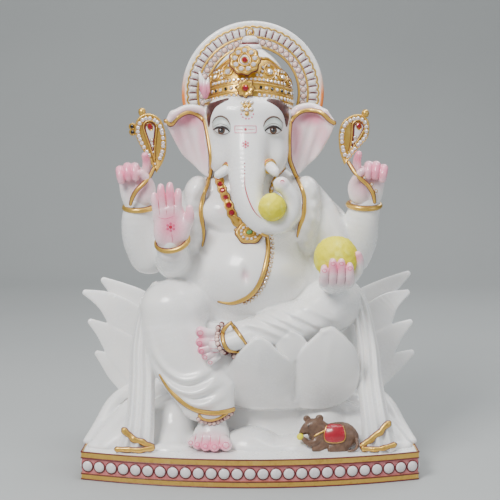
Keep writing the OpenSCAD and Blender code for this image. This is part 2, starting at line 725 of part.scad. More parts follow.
module flower_bud() color("pink") figure() fitted() {
    limb([[-62, -20, 462, 5, 5], [-64, -22, 473, 8, 8], [-64, -22, 486, 9, 8], [-65, -20, 496, 5, 5],
        [-67, -19, 502, 2, 2]], n = 8);
    crown_form();
    crown_relief_form();
    head_form();
    ear_form(-1);
}

module forehead_pendant() color("ivory") figure() fitted() {
    for (q = [[-4.6, 0], [4.6, 0], [-4.6, -7], [4.6, -7], [0, -4], [-3, -13], [3, -13], [0, -19]])
        ball([-4 + q[0], -58 + abs(q[1]) * 0.12, 459 + q[1]], 3, 6);
    head_form();
    crown_form();
    crown_relief_form();
}

// ---------- halo ----------

module tube(r0, r1, t) difference() {
    cylinder(r = r1, h = t, center = true, $fn = 96);
    cylinder(r = r0, h = t + 2, center = true, $fn = 96);
}
// The halo's own frame: its front face is at height 0 and looks along +Z.
module halo_place() translate(halo_c) rotate([90, 0, 0]) translate([0, 0, halo_thickness / 2]) children();
module halo_arc(r0, r1, t) rotate([0, 0, 90 - halo_reach]) rotate_extrude(angle = 2 * halo_reach)
    translate([r0, 0]) square([r1 - r0, t]);
function arc_angles(n) = [for (i = [0 : n - 1]) let (w = (i + 0.5) * 360 / n - 180) if (abs(w) < halo_reach - 3) w];
// A round bead with a flat back standing on height 0.
module pearl(r) rotate_extrude()
    polygon(concat([[0, 0]], [for (w = [0 : 15 : 90]) [r * cos(w), 0.4 * r + r * 0.8 * sin(w)]], [[0, 0]]));

module halo_ring() color("white") figure() translate(halo_c) rotate([90, 0, 0])
    tube(halo_radius - halo_width, halo_radius, halo_thickness);
module halo_gold_rims() color("goldenrod") figure() halo_place() {
    halo_arc(halo_radius - halo_width, halo_radius - halo_width * 0.9, 2);
    halo_arc(halo_radius - halo_width * 0.62, halo_radius - halo_width * 0.56, 2);
    halo_arc(halo_radius - halo_width * 0.3, halo_radius - halo_width * 0.24, 2);
}
module halo_flutes() color("ivory") figure() halo_place()
    for (w = arc_angles(halo_flutes_count)) rotate([0, 0, w]) translate([0, flute_ring, 1.2])
        cube([flute_ring * 5.1 / halo_flutes_count, halo_width * 0.24, 2.4], center = true);
module halo_pearls() color("pink") figure() halo_place()
    for (w = arc_angles(halo_pearls_count)) rotate([0, 0, w]) translate([0, pearl_ring, 0]) pearl(pearl_r);

// ---------- emblems held in the rear hands ----------

// Leaf outline from its foot up to the nub; bend leans it sideways.
function leaf(h, w, bend, n = 9) = concat(
    [for (i = [0 : n]) let (t = i / n) [bend * sin(180 * t) - w * pow(sin(180 * pow(t, 0.8)), 0.9) * 0.5, h * t]],
    [for (i = [n - 1 : -1 : 1]) let (t = i / n)
        [bend * sin(180 * t) + w * pow(sin(180 * pow(t, 0.8)), 0.9) * 0.5, h * t]]);

emblem_foot = [[-127, -18, 366], [136, -18, 366]];
module emblem_leaf(s, f, y0, t) {
    i = s < 0 ? 0 : 1;
    translate(emblem_foot[i] + [0, y0, 0]) rotate([0, -s * (s < 0 ? -12 : -9), 0]) rotate([90, 0, 0])
        translate([0, (1 - f) * 38, 0]) linear_extrude(t, center = true) polygon(leaf(80 * f, 34 * f, -s * 3));
}
module emblem_handle(s) {
    c = s < 0 ? rear_right : rear_left;
    cord([[c[0] - s * 16, c[1] - 14, c[2] + 14], [c[0] - s * 8, c[1] - 26, c[2] - 2], [c[0] + s * 4, c[1] - 24, c[2] - 14],
        [c[0] + s * 9, c[1] - 20, c[2] - 30]], r = 3);
}
module emblem_body(s) {
    emblem_leaf(s, 1, 0, 8);
    emblem_handle(s);
    c = s < 0 ? rear_right : rear_left;
    if (s < 0) ball([-158, -18, 424], [9, 4, 9], 8);
    ball(s < 0 ? [-144, -18, 447] : [150, -18, 446], 4.4, 8);
}
module emblem(s) color("goldenrod") figure() carved() emblem_body(s);
module emblem_right() emblem(-1);
module emblem_left() emblem(1);

module emblem_stones() color("crimson") figure() for (s = [-1, 1])
    translate(emblem_foot[s < 0 ? 0 : 1]) rotate([0, -s * (s < 0 ? -12 : -9), 0]) {
        for (j = [5 : 12], d = [-1, 1]) {
            t = j / 14;
            half = 17 * pow(sin(180 * pow(t, 0.8)), 0.9);
            if (half > 8) stone([-s * 3 * sin(180 * t) + d * (half - 4), -4 + embed, 80 * t], [0, -1, 0],
                stone_size * 0.8, stone_h * 0.8);
        }
        stone([-s * 2, -4 + embed, 52], [0, -1, 0], stone_size * 1.3, stone_h * 1.2);
    }

// ---------- sweets, necklace, mouse ----------

module sweets() color("yellow") figure() fitted() {
    union() {
        ball(modak_c, modak_radius, 14);
        ball(laddoo_c, laddoo_radius, 14);
    }
    torso_form();
    folded_form();
}

beads_pts = [on_skin(-42, 350), on_skin(-37, 340), on_skin(-32, 330), on_skin(-27, 320), on_skin(-23, 311),
    on_skin(-18, 303)];
pendant_p = [-1, skin(-1, 284) - 5, 284];
module necklace_form() {
    cord([for (p = concat(beads_pts, [on_skin(-12, 296), on_skin(-4, 290)])) p - [0, 0.6, 0]], r = 6, n = 10,
        steps = 1);
    translate(pendant_p + [0, 5, 0]) rotate([90, 0, 0]) cylinder(r = 15, h = 10, $fn = 6);
    cord([on_skin(6, 294, 1), on_skin(18, 296, 1), on_skin(24, 288, 1)], r = 3);
}
module necklace() color("goldenrod") figure() fitted() {
    necklace_form();
    torso_form();
    head_form();
    tusk_form(-1);
    collar_form(-1);
    cord(thread_pts, r = 2.8);
    ball(modak_c, modak_radius, 14);
}
module necklace_stones() color("crimson") figure() fitted() {
    union() {
        for (p = beads_pts) stone(p - [0, 5, 0], [-0.2, -1, 0.15], stone_size * 1.3, stone_h * 1.4);
        stone(pendant_p + [0, -5, 0], [0, -1, 0], stone_size * 1.4, stone_h * 1.3);
        for (i = [0 : 9]) stone(pendant_p + [9.6 * sin(i * 36), -5, 9.6 * cos(i * 36)], [0, -1, 0],
            stone_size * 0.84, stone_h * 0.9);
    }
    necklace_form();
    head_form();
    torso_form();
}

module mouse() color("saddlebrown") figure() fitted() {
    union() {
        limb([[136, -100, 14, 12, 11], [120, -101, 18, 17, 15], [100, -102, 17, 14, 13], [86, -102, 20, 10, 10]],
            up = [0, 0, 1], n = 8, steps = 1);
        limb([[88, -102, 26, 10, 9], [76, -105, 28, 8, 7], [66, -107, 26, 3.4, 3.4]], up = [0, 0, 1], n = 6, steps = 1);
        ball([90, -98, 36], [5, 3, 5], 8);
        ball([76, -97, 35], [5, 3, 5], 8);
        cord([[134, -98, 12], [142, -104, 14], [143, -110, 8], [138, -116, 4]], r = 2.4, n = 5, steps = 1);
        limb([[84, -108, 18, 4, 4], [74, -110, 12, 3.4, 3.4], [70, -110, 18, 3, 3]], [0, 1, 0.2], 6, 1);
        ball([67, -110, 22], 5, 8);
    }
    below();
    scarf_right_form();
    seat_form();
    pedestal_form();
}

plinth();
plinth_top_band();
plinth_bottom_band();
plinth_frieze();
plinth_beads();
seat_pedestal();
lotus_seat();
lotus_front_petals();
lotus_petals_left();
lotus_petals_right();
torso();
planted_leg();
folded_leg();
planted_foot();
crossed_foot();
leg_hem_trim();
planted_anklet();
crossed_anklet();
navel_thread();
navel_thread_crystals();
scarf_fall_left();
scarf_fall_right();
scarf_hem_left();
scarf_hem_right();
shoulder_trim_left();
shoulder_trim_right();
head_and_trunk();
tusk_left();
tusk_right();
tusk_collars();
ear_left();
ear_right();
ear_trim_left();
ear_trim_right();
rear_arm_left();
rear_arm_right();
rear_hand_left();
rear_hand_right();
front_arm_left();
front_arm_right();
front_hand_left();
front_hand_right();
bangles();
crown();
crown_gold_relief();
crown_stones();
crown_finial();
flower_bud();
forehead_pendant();
halo_ring();
halo_gold_rims();
halo_flutes();
halo_pearls();
emblem_left();
emblem_right();
emblem_stones();
sweets();
necklace();
necklace_stones();
mouse();
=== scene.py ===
import bpy
import json
import math
import numpy as np
from mathutils import Matrix, Vector
from mathutils.bvhtree import BVHTree

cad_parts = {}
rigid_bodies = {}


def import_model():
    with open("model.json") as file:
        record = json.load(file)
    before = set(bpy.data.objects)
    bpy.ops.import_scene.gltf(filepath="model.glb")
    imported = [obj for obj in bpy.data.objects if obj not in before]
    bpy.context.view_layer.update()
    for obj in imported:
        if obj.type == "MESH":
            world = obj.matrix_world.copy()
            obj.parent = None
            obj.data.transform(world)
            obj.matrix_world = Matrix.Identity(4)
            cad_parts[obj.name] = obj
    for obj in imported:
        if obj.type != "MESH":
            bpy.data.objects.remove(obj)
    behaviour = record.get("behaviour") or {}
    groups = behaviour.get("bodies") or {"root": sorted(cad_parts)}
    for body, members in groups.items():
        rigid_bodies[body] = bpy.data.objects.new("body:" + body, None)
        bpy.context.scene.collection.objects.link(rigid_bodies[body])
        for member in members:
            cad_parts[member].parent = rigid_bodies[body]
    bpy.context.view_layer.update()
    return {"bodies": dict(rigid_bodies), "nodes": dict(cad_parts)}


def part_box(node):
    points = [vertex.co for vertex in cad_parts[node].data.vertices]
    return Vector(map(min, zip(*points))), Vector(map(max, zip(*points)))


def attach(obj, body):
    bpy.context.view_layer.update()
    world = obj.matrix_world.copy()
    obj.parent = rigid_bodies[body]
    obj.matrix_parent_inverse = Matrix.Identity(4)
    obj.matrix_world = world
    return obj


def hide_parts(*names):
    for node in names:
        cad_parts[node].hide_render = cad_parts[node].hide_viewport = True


bl_info = {
    "name": "Seated Ganesha",
    "version": (1, 0, 0),
    "blender": (4, 5, 0),
    "location": "View3D > Sidebar > Ganesha",
    "description": "Carves, gilds and paints a white marble Ganesha around its CAD frame",
    "category": "Object",
}

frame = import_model()
MM = 0.001
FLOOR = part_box("plinth")[0][2] / MM
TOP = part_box("plinth")[1][2] / MM
BODY = sorted(frame["bodies"])[0]


def node_span(node):
    """Lowest and highest corner of a CAD node, in the figure's millimetres above the plinth top."""
    lo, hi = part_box(node)
    return [lo[0] / MM, lo[1] / MM, lo[2] / MM - TOP], [hi[0] / MM, hi[1] / MM, hi[2] / MM - TOP]


# ---------------------------------------------------------------- carving


def smooth_path(points, steps):
    """Catmull-Rom through rows of numbers."""
    p = np.array(points, float)
    out = []
    for i in range(len(p) - 1):
        a, b = p[max(i - 1, 0)], p[i]
        c, d = p[i + 1], p[min(i + 2, len(p) - 1)]
        for j in range(steps):
            t = j / steps
            out.append(0.5 * (2 * b + (c - a) * t + (2 * a - 5 * b + 4 * c - d) * t * t
                              + (3 * b - a - 3 * c + d) * t ** 3))
    out.append(p[-1])
    return np.array(out)


def unit(v):
    """The same direction, one long."""
    v = np.asarray(v, float)
    return v / max(np.linalg.norm(v), 1e-9)


def blend_min(a, b, k):
    """The nearer of two distances, with the join rounded over k."""
    if k <= 0:
        return np.minimum(a, b)
    h = np.clip(0.5 + 0.5 * (b - a) / k, 0, 1)
    return b + (a - b) * h - k * h * (1 - h)


def lengths(path):
    """How far along a path each of its points is."""
    return np.concatenate([[0], np.cumsum(np.linalg.norm(np.diff(path, axis=0), axis=1))])


def ease(rows, rounds):
    """Evens out the depth of a row of points, ends kept."""
    for _ in range(rounds):
        rows[1:-1, 1] = (rows[:-2, 1] + 2 * rows[1:-1, 1] + rows[2:, 1]) / 4


def round_distance(*sides):
    """About how far a point is from an ellipse or ellipsoid; sides are (offset, half size)."""
    k0 = np.sqrt(sum((q / a) ** 2 for q, a in sides)) + 1e-6
    k1 = np.sqrt(sum((q / a ** 2) ** 2 for q, a in sides)) + 1e-6
    return k0 * (k0 - 1) / k1


def polygon_distance(points, X, Z):
    """Signed distance in the XZ plane to a closed outline; negative inside."""
    p = np.array(points, float)
    best = np.full(np.broadcast(X, Z).shape, 1e9)
    inside = np.zeros(best.shape, bool)
    for i in range(len(p)):
        ax, az = p[i]
        bx, bz = p[(i + 1) % len(p)]
        ex, ez = bx - ax, bz - az
        t = np.clip(((X - ax) * ex + (Z - az) * ez) / max(ex * ex + ez * ez, 1e-9), 0, 1)
        best = np.minimum(best, (X - ax - t * ex) ** 2 + (Z - az - t * ez) ** 2)
        crosses = ((az > Z) != (bz > Z)) & (X < ax + (Z - az) / (ez if abs(ez) > 1e-9 else 1e-9) * ex)
        inside ^= crosses
    d = np.sqrt(best)
    return np.where(inside, -d, d)


def path_distance(points, X, Z):
    """Distance in the XZ plane to an open path, and how far along it (0 to 1)."""
    p = np.array(points, float)
    best = np.full(np.broadcast(X, Z).shape, 1e9)
    along = np.zeros(best.shape)
    for i in range(len(p) - 1):
        ax, az = p[i]
        ex, ez = p[i + 1] - p[i]
        t = np.clip(((X - ax) * ex + (Z - az) * ez) / max(ex * ex + ez * ez, 1e-9), 0, 1)
        d = (X - ax - t * ex) ** 2 + (Z - az - t * ez) ** 2
        near = d < best
        best = np.where(near, d, best)
        along = np.where(near, (i + t) / (len(p) - 1), along)
    return np.sqrt(best), along


def overlap_of(w, v):
    """The cells that two windows share."""
    return tuple(slice(max(a.start, b.start), min(a.stop, b.stop)) for a, b in zip(w, v))


def seen_from(w, v):
    """Window w counted from the first cell of window v."""
    return tuple(slice(a.start - b.start, a.stop - b.start) for a, b in zip(w, v))


# An overlap so wide that a part is cut whole, with no seam to a neighbour.
WHOLE = 50.0


class Stone:
    """One block of marble as a distance grid, worked in figure millimetres."""

    FAR = 40.0

    def __init__(self, low, high, voxel):
        self.low, self.h = np.array(low, float), voxel
        self.n = np.ceil((np.array(high, float) - self.low) / voxel).astype(int) + 1
        self.axes = [self.low[i] + np.arange(self.n[i]) * voxel for i in range(3)]
        self.skin = np.full(self.n, self.FAR, np.float32)
        self.near = np.full(self.n, self.FAR, np.float32)
        self.next = np.full(self.n, self.FAR, np.float32)
        self.mark = np.zeros(self.n, np.int16)
        self.parts = {}

    def span(self, low, high):
        """The window of cells from one corner to another."""
        a = np.clip(np.floor((np.array(low, float) - self.low) / self.h).astype(int), 0, self.n - 1)
        b = np.clip(np.ceil((np.array(high, float) - self.low) / self.h).astype(int) + 1, 1, self.n)
        return tuple(slice(int(x), int(max(y, x + 1))) for x, y in zip(a, b))

    def grid(self, w):
        return (self.axes[0][w[0]][:, None, None], self.axes[1][w[1]][None, :, None],
                self.axes[2][w[2]][None, None, :])

    def lay(self, part, k):
        """Joins a finished part to the block, rounding the join over k millimetres."""
        w, d = part.window, part.field
        mark = len(self.parts) + 1
        self.parts[part.name] = (mark, w, d)
        s = self.skin[w]
        self.skin[w] = blend_min(s, d, k)
        near, nxt, m = self.near[w], self.next[w], self.mark[w]
        closer = d < near
        self.next[w] = np.where(closer, near, np.minimum(nxt, d))
        self.near[w] = np.where(closer, d, near)
        self.mark[w] = np.where(closer, mark, m)

    def crease(self, points, width, height, ys=(-200, 200), fade=0.35):
        """Raises (or cuts, below zero) a line drawn on the front of the block."""
        p = smooth_path(points, 5)[:, :2]
        pad = 3 * width
        w = self.span([p[:, 0].min() - pad, ys[0], p[:, 1].min() - pad],
                      [p[:, 0].max() + pad, ys[1], p[:, 1].max() + pad])
        X, _, Z = self.grid(w)
        d, t = path_distance(p, X[:, 0, :], Z[0])
        ends = np.clip(np.minimum(t, 1 - t) / max(fade, 1e-6), 0, 1)
        lift = height * np.exp(-(d / width) ** 2) * (ends * ends * (3 - 2 * ends))
        self.skin[w] -= lift[:, None, :].astype(np.float32)

    def dab(self, c, r, height):
        """Swells or dents the surface softly round a point."""
        c, r = np.array(c, float), np.array(r if np.ndim(r) else [r] * 3, float)
        w = self.span(c - 2 * r, c + 2 * r)
        X, Y, Z = self.grid(w)
        q = ((X - c[0]) / r[0]) ** 2 + ((Y - c[1]) / r[1]) ** 2 + ((Z - c[2]) / r[2]) ** 2
        self.skin[w] -= (height * np.exp(-q)).astype(np.float32)

    def sample(self, grid, w, pts):
        """Trilinear values of a window's grid at points."""
        q = (pts - np.array([self.axes[i][w[i].start] for i in range(3)])) / self.h
        i = np.clip(np.floor(q).astype(int), 0, np.array(grid.shape) - 2)
        f = np.clip(q - i, 0, 1)
        out = np.zeros(len(pts))
        for dx in (0, 1):
            for dy in (0, 1):
                for dz in (0, 1):
                    wt = (f[:, 0] if dx else 1 - f[:, 0]) * (f[:, 1] if dy else 1 - f[:, 1]) \
                        * (f[:, 2] if dz else 1 - f[:, 2])
                    out += wt * grid[i[:, 0] + dx, i[:, 1] + dy, i[:, 2] + dz]
        return out

    def slope(self, grid, w, pts):
        """Gradient of a window's grid at points."""
        g = np.zeros((len(pts), 3))
        for a in range(3):
            e = np.zeros(3)
            e[a] = self.h * 0.6
            g[:, a] = self.sample(grid, w, pts + e) - self.sample(grid, w, pts - e)
        return g / (1.2 * self.h)

    def cut(self, name, overlap=1.6):
        """Vertices (figure mm), quads and normals of one part of the finished block."""
        mark, inner, d = self.parts[name]
        w = tuple(slice(max(s.start - 2, 0), min(s.stop + 2, int(n))) for s, n in zip(inner, self.n))
        own = np.full([s.stop - s.start for s in w], self.FAR, np.float32)
        own[seen_from(inner, w)] = d
        other = np.where(self.mark[w] == mark, self.next[w], self.near[w])
        edge = (own - other) * 0.5 - overlap
        skin = self.skin[w]
        field = np.maximum(skin, edge)
        for a in range(3):
            lo = [slice(None)] * 3
            hi = [slice(None)] * 3
            lo[a], hi[a] = 0, -1
            field[tuple(lo)] = np.maximum(field[tuple(lo)], 1)
            field[tuple(hi)] = np.maximum(field[tuple(hi)], 1)
        verts, quads = net(field)
        verts = verts * self.h + np.array([self.axes[i][w[i].start] for i in range(3)])
        for _ in range(2):
            f = self.sample(field, w, verts)
            g = self.slope(field, w, verts)
            step = f / np.maximum((g * g).sum(1), 0.3)
            verts = verts - g * np.clip(step, -self.h * 0.5, self.h * 0.5)[:, None]
        verts = relax(verts, quads, 1, 0.35)
        outer = np.abs(self.sample(skin, w, verts)) < self.h * 0.9
        g = self.slope(skin, w, verts)
        e = self.slope(edge.astype(np.float32), w, verts)
        n = np.where(outer[:, None], g, e)
        n /= np.maximum(np.linalg.norm(n, axis=1), 1e-6)[:, None]
        return verts, quads, n


def relax(verts, quads, rounds, amount):
    """Draws each vertex towards the middle of its neighbours."""
    n = len(verts)
    a = np.concatenate([quads[:, 0], quads[:, 1], quads[:, 2], quads[:, 3]])
    b = np.concatenate([quads[:, 1], quads[:, 2], quads[:, 3], quads[:, 0]])
    count = np.bincount(a, minlength=n) + np.bincount(b, minlength=n)
    for _ in range(rounds):
        total = np.stack([np.bincount(a, verts[b, i], n) + np.bincount(b, verts[a, i], n)
                          for i in range(3)], 1)
        verts = verts + amount * (total / np.maximum(count, 1)[:, None] - verts)
    return verts


def net(field):
    """Surface nets: one vertex a crossing cell, one quad a crossing edge."""
    inside = field < 0
    corner = [inside[i:inside.shape[0] - 1 + i, j:inside.shape[1] - 1 + j, k:inside.shape[2] - 1 + k]
              for i in (0, 1) for j in (0, 1) for k in (0, 1)]
    total = np.zeros(corner[0].shape, np.int8)
    for c in corner:
        total += c
    cells = np.argwhere((total > 0) & (total < 8))
    ids = np.full(total.shape, -1, np.int32)
    ids[tuple(cells.T)] = np.arange(len(cells))
    spots = np.zeros((len(cells), 3))
    hits = np.zeros(len(cells))
    offs = np.array([[i, j, k] for i in (0, 1) for j in (0, 1) for k in (0, 1)])
    values = [field[tuple((cells + o).T)].astype(float) for o in offs]
    for a in range(8):
        for b in range(a + 1, 8):
            if np.abs(offs[a] - offs[b]).sum() != 1:
                continue
            va, vb = values[a], values[b]
            cross = (va < 0) != (vb < 0)
            t = np.where(cross, va / np.where(cross, va - vb, 1), 0)
            spots += cross[:, None] * (offs[a] + t[:, None] * (offs[b] - offs[a]))
            hits += cross
    verts = cells + spots / hits[:, None]
    quads = []
    for axis in range(3):
        u, v = (axis + 1) % 3, (axis + 2) % 3
        lo = [slice(1, -1)] * 3
        hi = [slice(1, -1)] * 3
        lo[axis], hi[axis] = slice(0, -1), slice(1, None)
        a, b = inside[tuple(lo)], inside[tuple(hi)]
        at = np.argwhere(a != b)
        flip = a[tuple(at.T)]
        base = at.copy()
        base[:, u] += 1
        base[:, v] += 1
        du, dv = np.zeros(3, int), np.zeros(3, int)
        du[u], dv[v] = 1, 1
        q = [ids[tuple((base - x).T)] for x in (du + dv, dv, 0 * du, du)]
        q = np.stack(q, 1)
        quads.append(np.where(flip[:, None], q, q[:, ::-1]))
    return verts, np.concatenate(quads)


class Part:
    """One named region of the block, built up from simple masses."""

    def __init__(self, stone, name, low, high):
        self.stone, self.name = stone, name
        self.window = stone.span(low, high)
        self.field = np.full([s.stop - s.start for s in self.window], stone.FAR, np.float32)

    def patch(self, low, high):
        w = self.stone.span(low, high)
        w = overlap_of(w, self.window)
        if any(s.stop <= s.start for s in w):
            return None, None
        return w, seen_from(w, self.window)

    def merge(self, low, high, shape, k, cut=False):
        w, own = self.patch(np.array(low) - k - 5, np.array(high) + k + 5)
        if w is None:
            return self
        d = shape(*self.stone.grid(w))
        f = self.field[own]
        self.field[own] = -blend_min(-f, d, k) if cut else blend_min(f, d, k)
        return self

    def ball(self, c, r, k=6, cut=False, turn=None):
        c = np.array(c, float)
        r = np.array(r if np.ndim(r) else [r] * 3, float)
        reach = np.full(3, r.max()) if turn is not None else r
        m = None if turn is None else np.array(Matrix.Rotation(math.radians(turn[1]), 3, turn[0]))

        def shape(X, Y, Z):
            x, y, z = X - c[0], Y - c[1], Z - c[2]
            if m is not None:
                x, y, z = (m[0][0] * x + m[1][0] * y + m[2][0] * z, m[0][1] * x + m[1][1] * y + m[2][1] * z,
                           m[0][2] * x + m[1][2] * y + m[2][2] * z)
            return round_distance((x, r[0]), (y, r[1]), (z, r[2]))
        return self.merge(c - reach, c + reach, shape, k, cut)

    def sweep(self, stations, up=(0, -1, 0), k=6, steps=4, cup=0, pleat=None, cut=False):
        """A body through stations [x, y, z, half width, half depth]."""
        rows = []
        for s in stations:
            s = list(s)
            rows.append(s + [s[3]] if len(s) == 4 else s)
        s = smooth_path(rows, steps)
        s[:, 3:] = np.maximum(s[:, 3:], 0.6)
        w, own = self.patch(s[:, :3].min(0) - s[:, 3:].max() * 1.4 - k - 5,
                            s[:, :3].max(0) + s[:, 3:].max() * 1.4 + k + 5)
        if w is None:
            return self
        field = np.full([q.stop - q.start for q in w], self.stone.FAR, np.float32)
        for i in range(len(s) - 1):
            p, q = s[i, :3], s[i + 1, :3]
            reach = max(s[i, 3:].max(), s[i + 1, 3:].max()) * 1.25 + k + 5
            lw = self.stone.span(np.minimum(p, q) - reach, np.maximum(p, q) + reach)
            lw = overlap_of(lw, w)
            if any(x.stop <= x.start for x in lw):
                continue
            lo = seen_from(lw, w)
            X, Y, Z = self.stone.grid(lw)
            d = q - p
            L2 = max(float(d @ d), 1e-6)
            t = np.clip(((X - p[0]) * d[0] + (Y - p[1]) * d[1] + (Z - p[2]) * d[2]) / L2, 0, 1)
            tan = unit(s[min(i + 2, len(s) - 1), :3] - s[max(i - 1, 0), :3])
            u = unit(np.cross(tan, up))
            v = np.cross(u, tan)
            rx, ry, rz = X - p[0] - t * d[0], Y - p[1] - t * d[1], Z - p[2] - t * d[2]
            a = s[i, 3] + t * (s[i + 1, 3] - s[i, 3])
            b = s[i, 4] + t * (s[i + 1, 4] - s[i, 4])
            pu = rx * u[0] + ry * u[1] + rz * u[2]
            pv = rx * v[0] + ry * v[1] + rz * v[2]
            pt = rx * tan[0] + ry * tan[1] + rz * tan[2]
            if cup:
                pv = pv - cup * pu * pu / a
            if pleat:
                pv = pv - pleat[1] * np.cos(pleat[0] * math.pi * pu / a
                        + (pleat[2] if len(pleat) > 2 else 0))
            field[lo] = np.minimum(field[lo], round_distance((pu, a), (pv, b), (pt, np.minimum(a, b))))
        f = self.field[own]
        self.field[own] = -blend_min(-f, field, k) if cut else blend_min(f, field, k)
        return self

    def turned(self, rows, x=0.0, k=3, cap=3.0):
        """A lathe-like mass: rows are (z, half width, half depth, middle y)."""
        q = smooth_path(rows, 6)

        def shape(X, Y, Z):
            a, b, mid = (np.interp(Z.ravel(), q[:, 0], q[:, i]).reshape(Z.shape) for i in (1, 2, 3))
            slope = np.gradient(a.ravel(), self.stone.h).reshape(Z.shape) if a.size > 1 else 0 * a
            d = round_distance((X - x, a), (Y - mid, b)) / np.sqrt(1 + slope ** 2)
            lid = np.maximum(q[0, 0] - Z, Z - q[-1, 0]) + 0 * d
            return -blend_min(-d, -lid, cap)
        reach = (q[:, 1].max(), q[:, 2].max())
        return self.merge((x - reach[0], q[:, 3].min() - reach[1], q[0, 0]),
                          (x + reach[0], q[:, 3].max() + reach[1], q[-1, 0]), shape, k)

    def plate(self, outline, face, thick, k=3, rnd=3, steps=3, cut=False):
        """A slab with an outline drawn from the front; face(x, z) is the depth of its middle."""
        p = smooth_path(list(outline) + [outline[0]], steps)[:-1] if steps > 1 else np.array(outline, float)
        gx, gz = np.meshgrid(np.linspace(p[:, 0].min(), p[:, 0].max(), 9),
                             np.linspace(p[:, 1].min(), p[:, 1].max(), 9))
        ys = face(gx, gz)
        low = [p[:, 0].min(), ys.min() - thick, p[:, 1].min()]
        high = [p[:, 0].max(), ys.max() + thick, p[:, 1].max()]

        def shape(X, Y, Z):
            edge = polygon_distance(p, X[:, 0, :], Z[0])[:, None, :]
            depth = np.abs(Y - face(X, Z)) - thick / 2
            a, b = edge + rnd, depth + rnd
            return np.minimum(np.maximum(a, b), 0) + np.hypot(np.maximum(a, 0), np.maximum(b, 0)) - rnd
        return self.merge(low, high, shape, k, cut)

    def done(self, k=3):
        self.stone.lay(self, k)


# ---------------------------------------------------------------- meshes


def new_object(name, verts, faces, finishes, smooth=True):
    """A mesh from figure millimetres, in the named finishes."""
    v = np.array(verts, float) + [0, 0, TOP]
    me = bpy.data.meshes.new(name)
    if isinstance(faces, np.ndarray):
        me.vertices.add(len(v))
        me.vertices.foreach_set("co", (v * MM).astype(np.float32).ravel())
        me.loops.add(faces.size)
        me.loops.foreach_set("vertex_index", faces.astype(np.int32).ravel())
        me.polygons.add(len(faces))
        side = faces.shape[1]
        me.polygons.foreach_set("loop_start", np.arange(0, faces.size, side, dtype=np.int32))
        me.polygons.foreach_set("loop_total", np.full(len(faces), side, np.int32))
        me.update(calc_edges=True)
        me.validate()
    else:
        me.from_pydata([tuple(p) for p in v * MM], [], faces)
        me.update()
    if smooth:
        me.shade_smooth()
    for finish in finishes:
        me.materials.append(FINISHES[finish])
    ob = bpy.data.objects.new(name, me)
    bpy.context.scene.collection.objects.link(ob)
    return ob


def place(ob, slot, *nodes):
    """The piece rides on the idol's one body and stands for these CAD nodes."""
    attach(ob, BODY)
    if nodes:
        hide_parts(*nodes)
    return ob


class Pile:
    """Vertices and faces of many small like things, gathered into one mesh."""

    def __init__(self):
        self.v, self.f, self.m = [], [], []

    def add(self, verts, faces, material=0):
        base = len(self.v)
        self.v += [tuple(p) for p in verts]
        self.f += [tuple(base + i for i in f) for f in faces]
        self.m += [material] * len(faces)

    def make(self, name, finishes, smooth=True):
        ob = new_object(name, self.v, self.f, finishes, smooth)
        ob.data.polygons.foreach_set("material_index", self.m)
        return ob


def frames(points):
    """A side and a lift direction for each point of a path, turning as little as they can."""
    p = np.array(points, float)
    tan = np.gradient(p, axis=0)
    tan /= np.maximum(np.linalg.norm(tan, axis=1), 1e-9)[:, None]
    side = np.zeros_like(p)
    ref = np.array([0, -1.0, 0])
    for i, t in enumerate(tan):
        s = np.cross(t, ref)
        if np.linalg.norm(s) < 0.15:
            s = side[i - 1] - t * (side[i - 1] @ t) if i else np.cross(t, [0, 0, 1.0])
        side[i] = unit(s)
    return tan, side, np.cross(side, tan)


def tube(pile, points, radius, sides=10, flat=1.0, material=0, ends=True):
    """A cord through points; radius is one number or one a point; flat squashes its depth."""
    p = np.array(points, float)
    r = np.full(len(p), float(radius)) if np.ndim(radius) == 0 else np.interp(
        np.linspace(0, 1, len(p)), np.linspace(0, 1, len(radius)), radius)
    tan, side, up = frames(p)
    if ends:
        first, last = p[0] - tan[0] * r[0] * 0.7, p[-1] + tan[-1] * r[-1] * 0.7
        p = np.vstack([first, p, last])
        r = np.concatenate([[r[0] * 0.35], r, [r[-1] * 0.35]])
        side = np.vstack([side[:1], side, side[-1:]])
        up = np.vstack([up[:1], up, up[-1:]])
    w = np.linspace(0, 2 * math.pi, sides, endpoint=False)
    verts = (p[:, None] + r[:, None, None] * (np.cos(w)[None, :, None] * side[:, None]
             + flat * np.sin(w)[None, :, None] * up[:, None])).reshape(-1, 3)
    faces = [(i * sides + j, (i + 1) * sides + j, (i + 1) * sides + (j + 1) % sides,
              i * sides + (j + 1) % sides) for i in range(len(p) - 1) for j in range(sides)]
    faces += [tuple(range(sides)), tuple(range((len(p) - 1) * sides + sides - 1, (len(p) - 1) * sides - 1,
            -1))]
    pile.add(verts, faces, material)


def basis(normal, roll=0.0):
    """Two directions across a normal, turned by roll, and the normal itself."""
    n = unit(normal)
    x = np.cross([0, 0, 1.0], n)
    x = unit(x) if np.linalg.norm(x) > 0.05 else np.array([1.0, 0, 0])
    y = np.cross(n, x)
    c, s = math.cos(roll), math.sin(roll)
    return c * x + s * y, c * y - s * x, n


